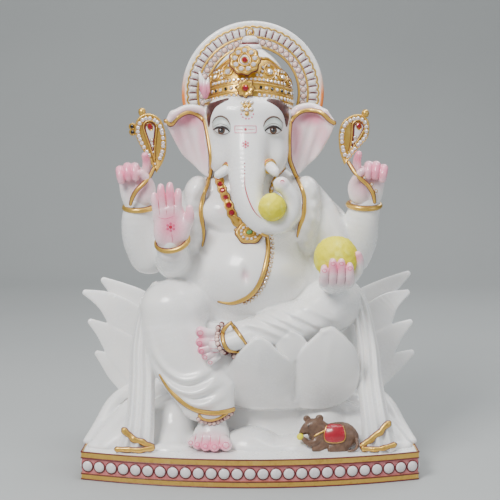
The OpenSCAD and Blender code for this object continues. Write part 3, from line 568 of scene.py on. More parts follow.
def revolve(pile, profile, centre, normal=(0, -1, 0), sides=16, squash=1.0, material=0, roll=0.0,
            lobes=None):
    """A lathe-turned button: profile is (radius, height) from its rim to its crown."""
    x, y, n = basis(normal, roll)
    verts, faces = [], []
    for r, h in profile:
        for j in range(sides):
            w = 2 * math.pi * j / sides
            rr = r * (1 + (lobes[1] * math.cos(lobes[0] * w) if lobes else 0))
            verts.append(np.array(centre) + x * rr * math.cos(w) + y * rr * squash * math.sin(w) + n * h)
    for i in range(len(profile) - 1):
        for j in range(sides):
            k = (j + 1) % sides
            faces.append((i * sides + j, i * sides + k, (i + 1) * sides + k, (i + 1) * sides + j))
    faces.append(tuple(range(sides - 1, -1, -1)))
    faces.append(tuple((len(profile) - 1) * sides + j for j in range(sides)))
    pile.add(verts, faces, material)


def gem(pile, centre, normal, d, material=0, squash=1.0, roll=0.3, sides=8):
    """A cut stone: girdle, slanted crown facets and a flat table."""
    r = d / 2
    revolve(pile, [(r * 0.9, -0.3 * r), (r, 0.12 * r), (r * 0.86, 0.36 * r), (r * 0.52, 0.62 * r)],
            centre, normal, sides, squash, material, roll)


def collet(pile, centre, normal, d, material=0, squash=1.0, roll=0.0):
    """The raised gold rim round a stone."""
    r = d / 2
    revolve(pile, [(r * 1.32, -0.5 * r), (r * 1.3, 0.08 * r), (r * 1.16, 0.26 * r), (r * 1.02, 0.18 * r),
                   (r * 0.9, 0.0)], centre, normal, 12, squash, material, roll)


def bead(pile, centre, normal, r, material=0, sides=12, squash=1.0, high=0.8):
    prof = [(r * math.cos(a), r * high * math.sin(a)) for a in np.linspace(-0.3, 1.25, 6)]
    revolve(pile, prof, centre, normal, sides, squash, material)


# ---------------------------------------------------------------- surfaces to lay things on


class Skin:
    """Finished marble that cords, stones and brush lines are laid on."""

    def __init__(self):
        self.bare()

    def bare(self):
        self.verts, self.faces, self.tree = [], [], None

    def take(self, verts, quads):
        base = sum(len(v) for v in self.verts)
        self.verts.append(verts)
        self.faces.append(quads + base)
        self.tree = None

    def ready(self):
        if not self.verts:
            raise RuntimeError("Carve the figure before dressing it")
        if self.tree is None:
            v = np.concatenate(self.verts)
            f = np.concatenate(self.faces)
            self.tree = BVHTree.FromPolygons(v.tolist(), f.tolist())
        return self.tree

    def front(self, x, z, lift=0.0, back=None):
        """The point met from the front at x, z, pushed out by lift, and its normal."""
        hit, normal, _, _ = self.ready().ray_cast(Vector((x, -320, z)), Vector((0, 1, 0)))
        if hit is None:
            return np.array([x, back if back is not None else 0.0, z]), np.array([0, -1.0, 0])
        return np.array(hit) + np.array(normal) * lift, np.array(normal)


SKIN = Skin()


def laid(skin, points, lift, steps=6, limit=9.0):
    """A smooth path over the front of the skin, without jumps into gaps."""
    p = smooth_path(points, steps)[:, :2]
    rows = np.array([skin.front(x, z, lift)[0] for x, z in p])
    y = rows[:, 1].copy()
    y = np.where(np.abs(y - np.median(y)) > 45, np.median(y), y)
    for _ in range(3):
        y[1:-1] = np.clip(y[1:-1], np.minimum(y[:-2], y[2:]) - limit / 3,
                          np.maximum(y[:-2], y[2:]) + limit / 3)
        y[1:-1] = (y[:-2] + 2 * y[1:-1] + y[2:]) / 4
    rows[:, 1] = y
    return rows


# ---------------------------------------------------------------- the figure in marble


# Every carve_ function shapes one or two parts of the block, in millimetres above the plinth top.


def carve_torso(stone):
    p = Part(stone, "torso", (-105, -105, 120), (112, 90, 425))
    rows = [(150, 66, 44, 0), (172, 75, 56, -4), (196, 81, 68, -9), (220, 82, 75, -12), (240, 79, 75, -12),
            (262, 73, 68, -8), (284, 72, 60, -2), (304, 80, 55, 3), (322, 87, 51, 5), (340, 80, 46, 6),
            (356, 62, 43, 7), (372, 46, 41, 9), (390, 40, 38, 12), (408, 38, 36, 14)]
    p.turned([(120, 50, 36, 6), *rows], 3, 4)
    p.ball((1, -15, 229), (79, 74, 60), 14)
    p.ball((-78, -22, 226), (24, 24, 26), 10)
    p.ball((84, -22, 226), (24, 24, 26), 10)
    p.ball((-34, -28, 312), (35, 27, 25), 9)
    p.ball((40, -28, 312), (35, 27, 25), 9)
    p.ball((3, 34, 330), (62, 34, 60), 20)
    # Shawl over each shoulder, standing proud of the chest along its gold edge.
    for s, xs in ((-1, (-64, -70, -71, -70, -68, -69)), (1, (70, 76, 79, 77, 73, 68))):
        for x, z in zip(xs, (352, 338, 322, 304, 288, 272)):
            p.ball((x + s * 7, -20 + (338 - z) * -0.05, z - (6 if z > 340 else 0)), (13, 28, 15), 9)
        p.sweep([(3 + s * 46, 2, 340, 20, 20), (3 + s * 66, 4, 330, 22, 24), (3 + s * 80, 4, 308, 20, 30),
                 (3 + s * 78, 0, 262, 15, 34)], k=12)
    p.done(4)


def carve_head(stone):
    p = Part(stone, "head_and_trunk", (-70, -125, 280), (70, 60, 480))
    p.ball((-3, -6, 424), (60, 50, 56), 6)
    p.ball((-3, -12, 446), (56, 48, 36), 14)
    p.ball((-26, -26, 438), (30, 32, 34), 10)
    p.ball((20, -26, 438), (30, 32, 34), 10)
    p.ball((-35, -26, 404), (23, 28, 34), 12)
    p.ball((29, -26, 404), (23, 28, 34), 12)
    p.ball((-40, -34, 384), (14, 22, 20), 12)
    p.ball((34, -34, 384), (14, 22, 20), 12)
    p.ball((-37, -53, 427), (12, 9, 9), 6)
    p.ball((31, -53, 427), (12, 9, 9), 6)
    p.sweep([(-4, -28, 446, 20, 26), (-4, -40, 424, 25, 27), (-4, -50, 402, 28, 27), (-4, -62, 374, 26, 25),
             (-4, -76, 346, 21.5, 21), (2, -86, 322, 19, 19), (17, -91, 305, 16.5, 16.5),
             (38, -93, 300, 13.5, 14), (54, -94, 316, 12, 12.5), (56, -95, 334, 11, 11),
             (49, -97, 347, 10, 10), (42, -98, 353, 9.5, 9.5)], k=14, steps=5)
    p.ball((41, -100, 356), (10.5, 10, 9.5), 3)
    p.done(3)


def ear_outline(s):
    pts = [(114, 434), (104, 448), (88, 456), (72, 456), (58, 449), (53, 432), (50, 408), (50, 384),
           (54, 360), (64, 362), (78, 375), (93, 390), (104, 410), (111, 425)]
    if s > 0:
        pts = [(115, 432), (101, 450), (84, 459), (66, 456), (54, 447), (50, 430), (51, 408), (53, 384),
               (59, 360), (67, 362), (79, 374), (94, 389), (106, 409), (112, 422)]
    return [(s * x, z) for x, z in pts]


def ear_depth(s):
    def face(x, z):
        u = (s * x - 52) / 62.0
        folds = 1.7 * np.cos((u * 60 + (430 - z) * 0.32) * 0.42)
        return (-17 + 10 * np.sin(np.clip(u, 0, 1) * math.pi) - 9 * np.clip(u, 0, 1.2) ** 2
                + folds * np.clip(u * 2, 0, 1) * np.clip((448 - z) / 40, 0, 1))
    return face


def carve_ears(stone):
    for s, name in ((-1, "ear_right"), (1, "ear_left")):
        p = Part(stone, name, (min(s * 122, s * 40), -50, 345), (max(s * 122, s * 40), 20, 470))
        p.plate(ear_outline(s), ear_depth(s), 8.5, k=0, rnd=3.6)
        top = ear_outline(s)[:5]
        face = ear_depth(s)
        p.sweep([(x, float(face(x, z)) - 7, z - 4, 5.4, 6.5) for x, z in top[1:-1]]
                + [(s * 60, -18, 446, 5, 6)], k=4)
        p.sweep([(s * 113, float(face(s * 113, 434)) - 4, 433, 3.5, 4),
                 (top[1][0], float(face(*top[1])) - 7, top[1][1] - 4, 5.4, 6.5)], k=4)
        p.done(3)


# Middle of each raised rear fist.
REAR_FIST = {-1: (-154, -14, 352), 1: (159, -14, 354)}


def carve_arms(stone):
    for s, name in ((-1, "rear_arm_right"), (1, "rear_arm_left")):
        p = Part(stone, name, (min(s * 190, s * 40), -60, 200), (max(s * 190, s * 40), 65, 380))
        c = REAR_FIST[s]
        rise = 4 if s > 0 else 0
        p.sweep([(s * 58, 10, 326 + rise, 26, 26), (s * 86, 18, 307 + rise, 29, 28),
                 (s * 118, 22, 278, 30, 29), (s * 140, 15, 250, 27, 25)], k=6)
        p.sweep([(s * 142, 13, 247, 26.5, 25), (s * 150, 3, 270, 27, 25), (s * 154, -6, 296, 24, 22.5),
                 (c[0] + 1, c[1] + 6, 320, 20, 19)], k=10)
        p.done(6)
    p = Part(stone, "front_arm_right", (-145, -95, 205), (-50, 40, 350))
    p.sweep([(-68, 0, 322, 27, 28), (-86, -3, 300, 29, 30), (-100, -12, 266, 28, 29),
             (-103, -28, 245, 26, 25)], k=4)
    p.sweep([(-103, -26, 246, 24, 24), (-105, -48, 252, 23.5, 23), (-106, -64, 266, 20, 19),
             (-106, -69, 276, 18.5, 16)], up=(1, 0, 0), k=8)
    p.done(8)
    p = Part(stone, "front_arm_left", (55, -95, 190), (150, 40, 350))
    p.sweep([(78, 0, 324, 28, 28), (95, -5, 302, 29, 30), (110, -14, 266, 28, 28),
             (114, -28, 242, 26, 25)], k=4)
    p.sweep([(114, -26, 243, 25, 25), (115, -48, 230, 23, 22), (114, -68, 224, 19, 18),
             (114, -76, 224, 18, 15)], up=(1, 0, 0), k=8)
    p.done(8)


def carve_legs(stone):
    p = Part(stone, "planted_leg", (-160, -125, 30), (12, 40, 250))
    p.sweep([(-38, 10, 178, 42, 40), (-76, -16, 184, 42, 36), (-102, -42, 184, 42, 33)], up=(0, 0, 1), k=4)
    p.ball((-108, -48, 184), (40, 37, 32), 16)
    p.sweep([(-105, -48, 180, 42, 36), (-104, -58, 156, 43, 34), (-94, -66, 128, 44, 32),
             (-76, -72, 98, 44, 30), (-62, -78, 76, 40, 27), (-56, -80, 60, 35, 24),
             (-54, -81, 52, 33, 22)], k=10)
    p.sweep([(-62, -82, 104, 42, 14), (-60, -90, 82, 40, 13), (-57, -92, 62, 35, 11),
             (-56, -92, 52, 34, 10)], k=10)
    p.ball((-24, -78, 116), (18, 18, 20), 10)
    p.ball((-50, -70, 40), (38, 26, 22), 4, cut=True)
    p.done(5)
    p = Part(stone, "folded_leg", (-30, -125, 120), (160, 40, 245))
    p.sweep([(40, 8, 180, 42, 36), (80, -20, 184, 42, 34), (112, -42, 186, 38, 32)], up=(0, 0, 1), k=4)
    p.ball((118, -44, 190), (34, 34, 32), 12)
    p.sweep([(112, -46, 186, 34, 34), (92, -60, 175, 34, 31), (54, -74, 164, 32, 29),
             (16, -84, 156, 26, 25), (-8, -89, 153, 22, 21)], up=(0, 0, 1), k=10)
    p.ball((40, -44, 176), (44, 34, 20), 10)
    p.done(5)


def carve_lotus(stone):
    p = Part(stone, "seat_pedestal", (-228, -124, -2), (228, 100, 82))
    p.turned([(-3, 130, 80, 14), (8, 124, 74, 14), (24, 112, 66, 12), (44, 106, 60, 10),
              (60, 104, 60, 10)], 18, 3)
    for x, y, rx, ry, h in ((-104, -66, 30, 36, 26), (-70, -76, 38, 30, 13), (2, -78, 44, 34, 24),
            (22, -96, 40, 18, 10), (66, -84, 44, 30, 16), (116, -70, 40, 34, 22), (96, -98, 40, 18, 8),
            (-104, -100, 34, 16, 9)):
        p.ball((x, y, -6), (rx, ry, h + 6), 6)
    for s in (-1, 1):
        for row in ([(130, 34, 66, 18, 12), (168, 20, 54, 13, 9), (192, -8, 42, 10, 8),
                     (207, -44, 20, 9, 7), (220, -74, 3, 8, 5)], [(124, 10, 56, 18, 12),
                (158, -6, 44, 13, 9), (184, -38, 26, 10, 8), (203, -76, 8, 9, 6), (212, -92, 2, 8, 4)],
                    [(112, -14, 44, 18, 12), (146, -34, 30, 14, 9), (174, -66, 15, 11, 7),
                     (196, -98, 3, 9, 5)]):
            p.sweep([(s * x, y, z, a, b) for x, y, z, a, b in row], up=(0, 0, 1), k=7)
        p.ball((s * 146, -22, -4), (56, 66, 44), 10)
        p.ball((s * 178, -50, -4), (38, 50, 26), 10)
        p.ball((s * 104, -40, 20), (32, 34, 34), 10)
    p.done(2)
    p = Part(stone, "lotus_seat", (-120, -105, 30), (175, 115, 180))
    p.turned([(40, 84, 56, 8), (46, 100, 72, 8), (60, 114, 84, 8), (84, 124, 92, 8), (116, 129, 96, 10),
              (140, 130, 95, 12), (164, 126, 92, 14)], 28, 3, 5)
    p.ball((26, 4, 182), (112, 74, 34), 8, cut=True)
    p.done(4)
    p = Part(stone, "lotus_front_petals", (-50, -125, 40), (165, -20, 180))

    def bulge(cx, top, lean):
        def face(x, z):
            t = np.clip((z - 50) / (top - 50), 0, 1.1)
            return -66 - 34 * np.sin(np.clip(t, 0, 1) * math.pi * 0.62) - lean * t + ((x
                    - cx) / 46.0) ** 2 * 13
        return face
    def behind(x, z):
        return bulge(57, 170, 15)(x, z) + 8
    mid = [(34, 96), (33, 134), (39, 149), (47, 156), (55, 162), (66, 157.5), (75, 147), (81, 132),
           (80, 96)]
    p.plate(mid, behind, 9, k=0, rnd=3.0)
    left = [(-36, 54), (-37, 84), (-32, 105), (-22, 125), (-9, 141), (4, 153), (14, 158), (24, 151),
            (36, 137), (47, 127), (56, 119), (62, 106), (63, 82), (60, 56), (36, 47), (4, 46)]
    p.plate(left, bulge(12, 165, 18), 14, k=0.8, rnd=4.0)
    right = [(58, 120), (66, 134), (78, 148), (91, 161), (106, 169), (120, 161), (132, 148), (142, 133),
             (147, 106), (144, 78), (128, 57), (98, 47), (64, 48), (59, 66), (58, 88), (57, 106)]
    p.plate(right, bulge(104, 172, 16), 14, k=0.8, rnd=4.0)
    p.done(2.5)
    p = Part(stone, "lotus_petals_right", (-250, -10, 0), (0, 130, 240))
    rows = [[(-96, 40, 30, 26, 8), (-150, 40, 48, 26, 6), (-185, 42, 72, 19, 5), (-205, 43, 90, 12, 4),
             (-220, 44, 101, 4.6, 3.6)], [(-98, 44, 34, 34, 8), (-138, 45, 66, 32, 7),
            (-182, 47, 104, 24, 5.5), (-208, 50, 130, 14, 4.5), (-230, 51, 146, 4.6, 3.8)],
            [(-96, 50, 60, 36, 8), (-140, 53, 108, 34, 7), (-180, 56, 150, 26, 5.5),
             (-208, 58, 174, 15, 4.5), (-238, 59, 187, 4.6, 3.8)], [(-84, 60, 84, 34, 8),
            (-130, 66, 134, 33, 7), (-168, 70, 168, 25, 5.5), (-192, 72, 188, 14, 4.5),
            (-213, 74, 203, 4.6, 3.8)], [(-60, 78, 50, 36, 8), (-92, 94, 104, 38, 7),
            (-124, 102, 140, 28, 5.5), (-150, 106, 174, 4.6, 3.8)], [(-16, 84, 44, 40, 8),
            (-34, 104, 100, 40, 7), (-44, 112, 138, 28, 5.5), (-50, 112, 168, 4.6, 3.8)]]
    ups = [(-0.35, -0.9, 0.5)] * 4 + [(-0.5, 0.9, 0.5), (0, 1, 0)]
    for r, up in zip(rows, ups):
        p.sweep(r, up=up, k=1.6, steps=5, cup=0.16)
    p.done(4)
    p = Part(stone, "lotus_petals_left", (0, -10, 0), (250, 130, 240))
    tips = [(233, 45, 102), (231, 52, 145), (230, 58, 168), (228, 66, 186), (229, 71, 213)]
    mirrored = [[(-x, y, z, a, b) for x, y, z, a, b in r] for r in rows]
    for r, tip in zip(mirrored[:4], (tips[0], tips[1], tips[3], tips[4])):
        m = list(r)
        m[-1] = (*tip, 4.6, 3.8)
        m[-2] = (m[-2][0] + (tip[0] - r[-1][0]) * 0.6, m[-2][1], m[-2][2] + (tip[2] - r[-1][2]) * 0.6,
                 *m[-2][3:])
        p.sweep(m, up=(0.35, -0.9, 0.5), k=1.6, steps=5, cup=0.16)
    for r, up in zip(mirrored[4:], [(0.5, 0.9, 0.5), (0, 1, 0)]):
        p.sweep(r, up=up, k=1.6, steps=5, cup=0.16)
    p.done(4)


def carve_scarves(stone):
    p = Part(stone, "scarf_fall_right", (-195, -130, -1), (-110, 0, 225))
    p.sweep([(-127, -34, 208, 10, 9), (-141, -48, 178, 12, 8), (-147, -63, 134, 15, 8),
             (-146, -78, 92, 17.5, 8), (-147, -96, 48, 19, 8), (-149, -106, 24, 21, 8),
             (-153, -113, 2, 24, 8)], k=3, steps=5, pleat=(3.1, 3.0, 0.6))
    p.done(4)
    p = Part(stone, "scarf_fall_left", (112, -130, -1), (205, 0, 240))
    p.sweep([(129, -32, 214, 11, 9), (148, -48, 192, 12, 8), (160, -62, 134, 14.5, 8),
             (162, -76, 90, 17, 8), (167, -96, 48, 19, 8), (170, -104, 26, 21, 8), (174, -112, 2, 23, 8)],
            k=3, steps=5, pleat=(3.1, 3.0, -0.6))
    p.done(4)


# The crown's dome: height, half width, half depth and middle y.
CROWN_ROWS = ((446, 57, 49, 0), (462, 58.5, 51, 1), (476, 57.5, 50, 3), (490, 53.5, 46.5, 5),
              (502, 47.5, 41, 6), (512, 41.5, 36, 7), (522, 33, 29, 8), (529, 24, 21, 8), (535, 15, 13, 8))


def carve_crown(stone):
    p = Part(stone, "crown", (-75, -62, 440), (65, 70, 548))
    p.turned([(z, a, b, y) for z, a, b, y in CROWN_ROWS], -1.5, 2, 3)
    p.done(1.5)


def fold_cloth(stone):
    """Soft folds of cloth, chest and belly lines and the navel, worked into the joined block."""
    front = (-140, 10)
    for pts, w, h in (
            ([(-137, 172), (-131, 134), (-115, 108), (-89, 95), (-63, 102), (-44, 122)], 6, 5.0),
            ([(-140, 150), (-132, 114), (-111, 88), (-82, 77), (-54, 86), (-34, 106)], 6, 5.0),
            ([(-135, 114), (-119, 92), (-94, 71), (-69, 61), (-45, 68), (-28, 80)], 5.5, 4.4),
            ([(-138, 162), (-131, 124), (-113, 99), (-86, 86), (-58, 95), (-40, 113)], 4.5, -3.6),
            ([(-138, 132), (-127, 103), (-103, 80), (-76, 69), (-49, 77), (-30, 92)], 4.5, -3.6),
            ([(-128, 104), (-108, 81), (-84, 62), (-62, 54), (-40, 58)], 4, -2.0),
            ([(-16, 172), (-4, 172), (14, 167), (34, 158), (52, 148)], 3.6, 3.2),
            ([(-16, 166), (0, 163), (20, 156), (38, 147)], 3.2, -2.4),
            ([(0, 178), (24, 175), (44, 167), (66, 158)], 3.6, 3.6),
            ([(-4, 176), (18, 171), (38, 163), (58, 153)], 3.0, -2.6),
            ([(16, 185), (39, 178), (60, 168), (80, 158)], 3.8, 3.6),
            ([(12, 180), (34, 175), (54, 166), (72, 157)], 3.0, -2.6),
            ([(34, 190), (60, 181), (86, 169), (104, 160)], 4.2, 3.4),
            ([(28, 187), (52, 180), (76, 169), (94, 159)], 3.2, -2.4),
            ([(60, 196), (84, 188), (108, 176), (124, 166)], 4.6, 2.8),
            ([(-62, 300), (-52, 289), (-36, 284), (-20, 287), (-8, 296)], 5, -4.2),
            ([(16, 296), (28, 287), (44, 285), (58, 292), (66, 302)], 5, -4.2),
            ([(-70, 276), (-64, 262), (-58, 252)], 5, -2.0),
            ([(62, 274), (68, 262), (72, 250)], 5, -2.0),
            ([(-60, 205), (-40, 186), (-10, 176), (24, 178), (56, 192), (76, 210)], 5, -2.4)):
        stone.crease(pts, w, h, front)
    stone.dab((-6, -90, 233), (4.5, 18, 9), -7.0)
    for s in (-1, 1):
        stone.dab((s * 24, -62, 455), (20, 14, 12), 1.5)
    # Lotus: the valley between the two front petals and the soft keel of each.
    stone.crease([(61, 122), (62, 100), (61, 78), (60, 56)], 3.0, -2.6, (-140, -40), fade=0.1)
    stone.crease([(14, 150), (12, 120), (11, 96)], 5, 1.0, (-140, -40))
    stone.crease([(106, 160), (104, 130), (104, 100)], 6, 1.0, (-140, -40))
    for s in (-1, 1):
        stone.crease([(s * 84, 336), (s * 98, 312), (s * 104, 284)], 4, -1.8, (-60, 0))
        stone.crease([(s * 74, 344), (s * 82, 318), (s * 86, 290)], 4, 1.6, (-60, 0))


def carve_rear_hand(stone, s, name):
    c = np.array(REAR_FIST[s], float)
    p = Part(stone, name, c + (-40, -40, -50), c + (40, 30, 50))

    def at(x, y, z):
        return (c[0] + s * x, c[1] + y, c[2] + z)
    p.sweep([(*at(-1, 5, -44), 18, 16), (*at(0, 4, -34), 18, 15), (*at(3, 2, -16), 21, 13),
             (*at(4, 0, 2), 22, 11), (*at(5, -1, 12), 18, 9)], k=3)
    # Three fingers folded over the palm, each with a soft knuckle.
    for x, top in ((23, 16), (13, 20), (3, 20)):
        p.sweep([(*at(x - 1, -2, 6), 6.4, 7), (*at(x, -6, top), 6.2, 6.6), (*at(x, -14, top + 1), 5.8, 6),
                 (*at(x - 1, -19, top - 6), 5.4, 5.4), (*at(x - 2, -18, top - 13), 5, 5)], (1, 0, 0),
                k=1.4, steps=5)
    p.sweep([(*at(-8, -2, 4), 7, 7), (*at(-12, -5, 16), 6.4, 6.4), (*at(-13, -8, 28), 5.6, 5.6),
             (*at(-11, -13, 37), 4.6, 4.6)], k=2, steps=5)
    p.sweep([(*at(-14, -1, -20), 9, 8), (*at(-17, -8, -6), 7.4, 7), (*at(-13, -16, 6), 6.2, 6),
             (*at(-7, -20, 14), 5, 5)], k=2, steps=5)
    p.ball(at(-10, -8, -14), (13, 9, 17), 6)
    p.done(0)


def carve_open_hand(stone):
    p = Part(stone, "front_hand_right", (-145, -105, 250), (-65, -45, 368))
    p.sweep([(-106, -66, 262, 18, 17), (-106, -72, 278, 18.5, 15), (-105, -77, 292, 21, 11.5),
             (-106, -79, 306, 22, 10), (-108, -80, 320, 19.5, 8.5)], k=3)
    p.ball((-91, -82, 292), (11, 8, 16), 5)
    p.ball((-119, -82, 290), (9, 7, 16), 5)
    for root, tip, r in (((-124, 316), (-127, 340), 5.4), ((-115, 319), (-118, 351), 5.8),
                         ((-105, 320), (-106, 353), 5.9), ((-95.5, 317), (-95, 345), 5.5)):
        mid = ((root[0] + tip[0]) / 2, (root[1] + tip[1]) / 2)
        p.sweep([(root[0], -80, root[1] - 8, r, r), (root[0], -81, root[1], r, r),
                 (mid[0], -82, mid[1], r * 0.96, r * 0.96), (tip[0], -82, tip[1] - 6, r * 0.9, r * 0.88),
                 (tip[0], -81, tip[1], r * 0.72, r * 0.7)], k=1.2, steps=4)
    p.sweep([(-91, -78, 288, 9, 8), (-83, -82, 302, 7.4, 7), (-80, -84, 314, 6.4, 6),
             (-80, -84, 323, 4.6, 4.4)], k=3, steps=5)
    p.done(0)


def carve_holding_hand(stone):
    p = Part(stone, "front_hand_left", (78, -140, 200), (165, -60, 285))
    p.sweep([(114, -68, 220, 17, 14), (114, -80, 219, 20, 12), (114, -94, 222, 23, 11),
             (114, -104, 227, 21, 10)], up=(0, 0, 1), k=3)
    for x, z in ((97, 248), (108, 257), (119, 257), (130, 251)):
        p.sweep([(x * 0.75 + 28.5, -98, 222, 6.6, 8), (x, -112, 228, 6.2, 7), (x, -121, 238, 5.8, 6),
                 (x, -122, z - 4, 5.4, 5.4), (x, -119, z, 4.2, 4.2)], (1, 0, 0), k=1.3, steps=5)
    p.sweep([(132, -84, 226, 9, 9), (142, -94, 240, 7.4, 7.4), (144, -101, 254, 6.4, 6.4),
             (142, -104, 263, 5, 5)], k=3, steps=5)
    p.done(0)


def carve_crossed_foot(stone):
    p = Part(stone, "crossed_foot", (-85, -130, 105), (25, -70, 185))
    p.sweep([(8, -88, 153, 20, 16), (-8, -92, 151, 22, 16), (-22, -97, 148, 24, 15),
             (-36, -101, 146, 23, 12.5), (-47, -103, 143, 20, 9.5)], up=(0, 0, 1), k=4)
    for base, tip, r in (((-46, -103, 157), (-66, -107, 161), 7.4), ((-48, -105, 149), (-67, -109, 147),
            6.0), ((-48, -105, 141), (-65, -108, 136), 5.6), ((-46, -104, 133), (-60, -106, 127), 5.2),
            ((-42, -102, 127), (-53, -104, 119), 4.8)):
        m = [(a + b) / 2 for a, b in zip(base, tip)]
        p.sweep([(*base, r * 0.95, r * 0.8), (m[0], m[1] - 1.5, m[2], r * 0.86, r * 0.8),
                 (tip[0], tip[1], tip[2], r, r * 0.85)], k=2, steps=5)
    p.done(0)


def carve_planted_foot(stone):
    p = Part(stone, "planted_foot", (-95, -132, -1), (-15, -50, 72))
    p.sweep([(-52, -80, 64, 19, 17), (-51, -79, 40, 17, 16), (-51, -80, 24, 20, 18)], k=4)
    p.sweep([(-51, -68, 14, 20, 13), (-52, -84, 17, 24, 14), (-54, -98, 13, 25, 10)], up=(0, 0, 1), k=6)
    for base, tip, r in (((-36, -99, 12), (-32, -117, 9), 8.6), ((-48, -103, 11), (-47, -121, 8), 7.0),
                         ((-58, -103, 11), (-59, -120, 8), 6.4), ((-67, -100, 11), (-70, -115, 8.5), 6.0),
                         ((-74, -95, 12), (-79, -107, 9.5), 5.6)):
        m = [(a + b) / 2 for a, b in zip(base, tip)]
        p.sweep([(*base, r * 0.95, r * 0.9), (m[0], m[1], m[2] + 2.2, r * 0.86, r * 0.84),
                 (tip[0], tip[1], tip[2], r, r * 0.84)], up=(0, 0, 1), k=2, steps=5)
    p.done(0)


# Centre, size and strength of each pink patch.
BLUSHES = {
    "front_hand_right": [((-105, -88, 300), (22, 14, 28), 0.95), ((-109, -86, 342), (26, 16, 26), 0.95),
                         ((-82, -86, 316), (12, 12, 16), 0.8)],
    "rear_hand_right": [((-168, -34, 368), (28, 18, 22), 1.0), ((-140, -26, 388), (12, 14, 20), 1.0),
                        ((-150, -34, 350), (24, 14, 26), 0.6)],
    "rear_hand_left": [((173, -34, 370), (28, 18, 22), 1.0), ((146, -26, 390), (12, 14, 20), 1.0),
                       ((155, -34, 352), (24, 14, 26), 0.6)],
    "front_hand_left": [((114, -124, 250), (28, 10, 13), 1.0), ((142, -104, 262), (8, 10, 10), 1.0),
                        ((114, -122, 234), (30, 10, 14), 0.5)],
    "crossed_foot": [((-67, -110, 142), (10, 14, 32), 1.0), ((-53, -112, 142), (10, 10, 26), 0.35)],
    "planted_foot": [((-56, -121, 9), (36, 13, 14), 1.0), ((-56, -106, 18), (30, 10, 10), 0.45)],
    "ear_right": [((-84, -20, 438), (28, 18, 13), 0.95), ((-63, -20, 420), (11, 18, 46), 0.7),
                  ((-96, -22, 416), (20, 14, 26), 0.55), ((-80, -20, 400), (30, 18, 34), 0.35)],
    "ear_left": [((84, -20, 440), (28, 18, 13), 0.95), ((63, -20, 420), (11, 18, 46), 0.7),
                 ((96, -22, 416), (20, 14, 26), 0.55), ((80, -20, 400), (30, 18, 34), 0.35)],
    "torso": [((-37, -60, 316), (6, 12, 6), 0.25), ((-6, -86, 233), (6, 16, 7), 0.35)],
    "head_and_trunk": [((42, -110, 360), (4, 8, 4), 0.5)],
}


def blush_of(name, verts, normals):
    """How much pink is brushed on each vertex: soft ovals round chosen spots."""
    out = np.zeros(len(verts))
    for c, r, strength in BLUSHES.get(name, []):
        q = (((verts - np.array(c)) / np.array(r)) ** 2).sum(1)
        out = np.maximum(out, strength * np.exp(-q * 0.9))
    if name.startswith("ear"):
        out *= np.clip(-normals[:, 1] * 1.6 - 0.2, 0, 1)
    return out


def carved_mesh(stone, name, finish, overlap):
    verts, quads, normals = stone.cut(name, overlap)
    ob = new_object("carved_" + name, verts, quads, [finish])
    ob.data.normals_split_custom_set_from_vertices(normals.tolist())
    return ob, verts, quads, normals


def show_part(stone, name, overlap=1.6):
    ob, verts, quads, normals = carved_mesh(stone, name, "marble", overlap)
    att = ob.data.attributes.new("blush", "FLOAT", "POINT")
    att.data.foreach_set("value", blush_of(name, verts, normals).astype(np.float32))
    SKIN.take(verts, quads)
    place(ob, "white_marble", name)


# ---------------------------------------------------------------- materials


class Wire:
    """One shader socket that takes part in ordinary arithmetic."""

    def __init__(self, tree, socket):
        self.tree, self.socket = tree, socket

    def math(self, kind, *others):
        """This socket first, then the others, through one Math node."""
        return self.work(kind, self, *others)

    def work(self, kind, *values):
        n = self.tree.nodes.new("ShaderNodeMath")
        n.operation = kind
        for i, value in enumerate(values):
            if isinstance(value, Wire):
                self.tree.links.new(value.socket, n.inputs[i])
            else:
                n.inputs[i].default_value = value
        return Wire(self.tree, n.outputs[0])

    def __add__(self, o):
        return self.math("ADD", o)

    def __sub__(self, o):
        return self.math("SUBTRACT", o)

    def __rsub__(self, o):
        return self.work("SUBTRACT", o, self)

    def __mul__(self, o):
        return self.math("MULTIPLY", o)

    def __truediv__(self, o):
        return self.math("DIVIDE", o)

    __radd__, __rmul__ = __add__, __mul__

    def clamp(self):
        w = self.math("ADD", 0.0)
        w.socket.node.use_clamp = True
        return w

    def above(self, edge, soft):
        """0 below the edge, 1 past edge + soft, straight in between."""
        return ((self - edge) / soft).clamp()


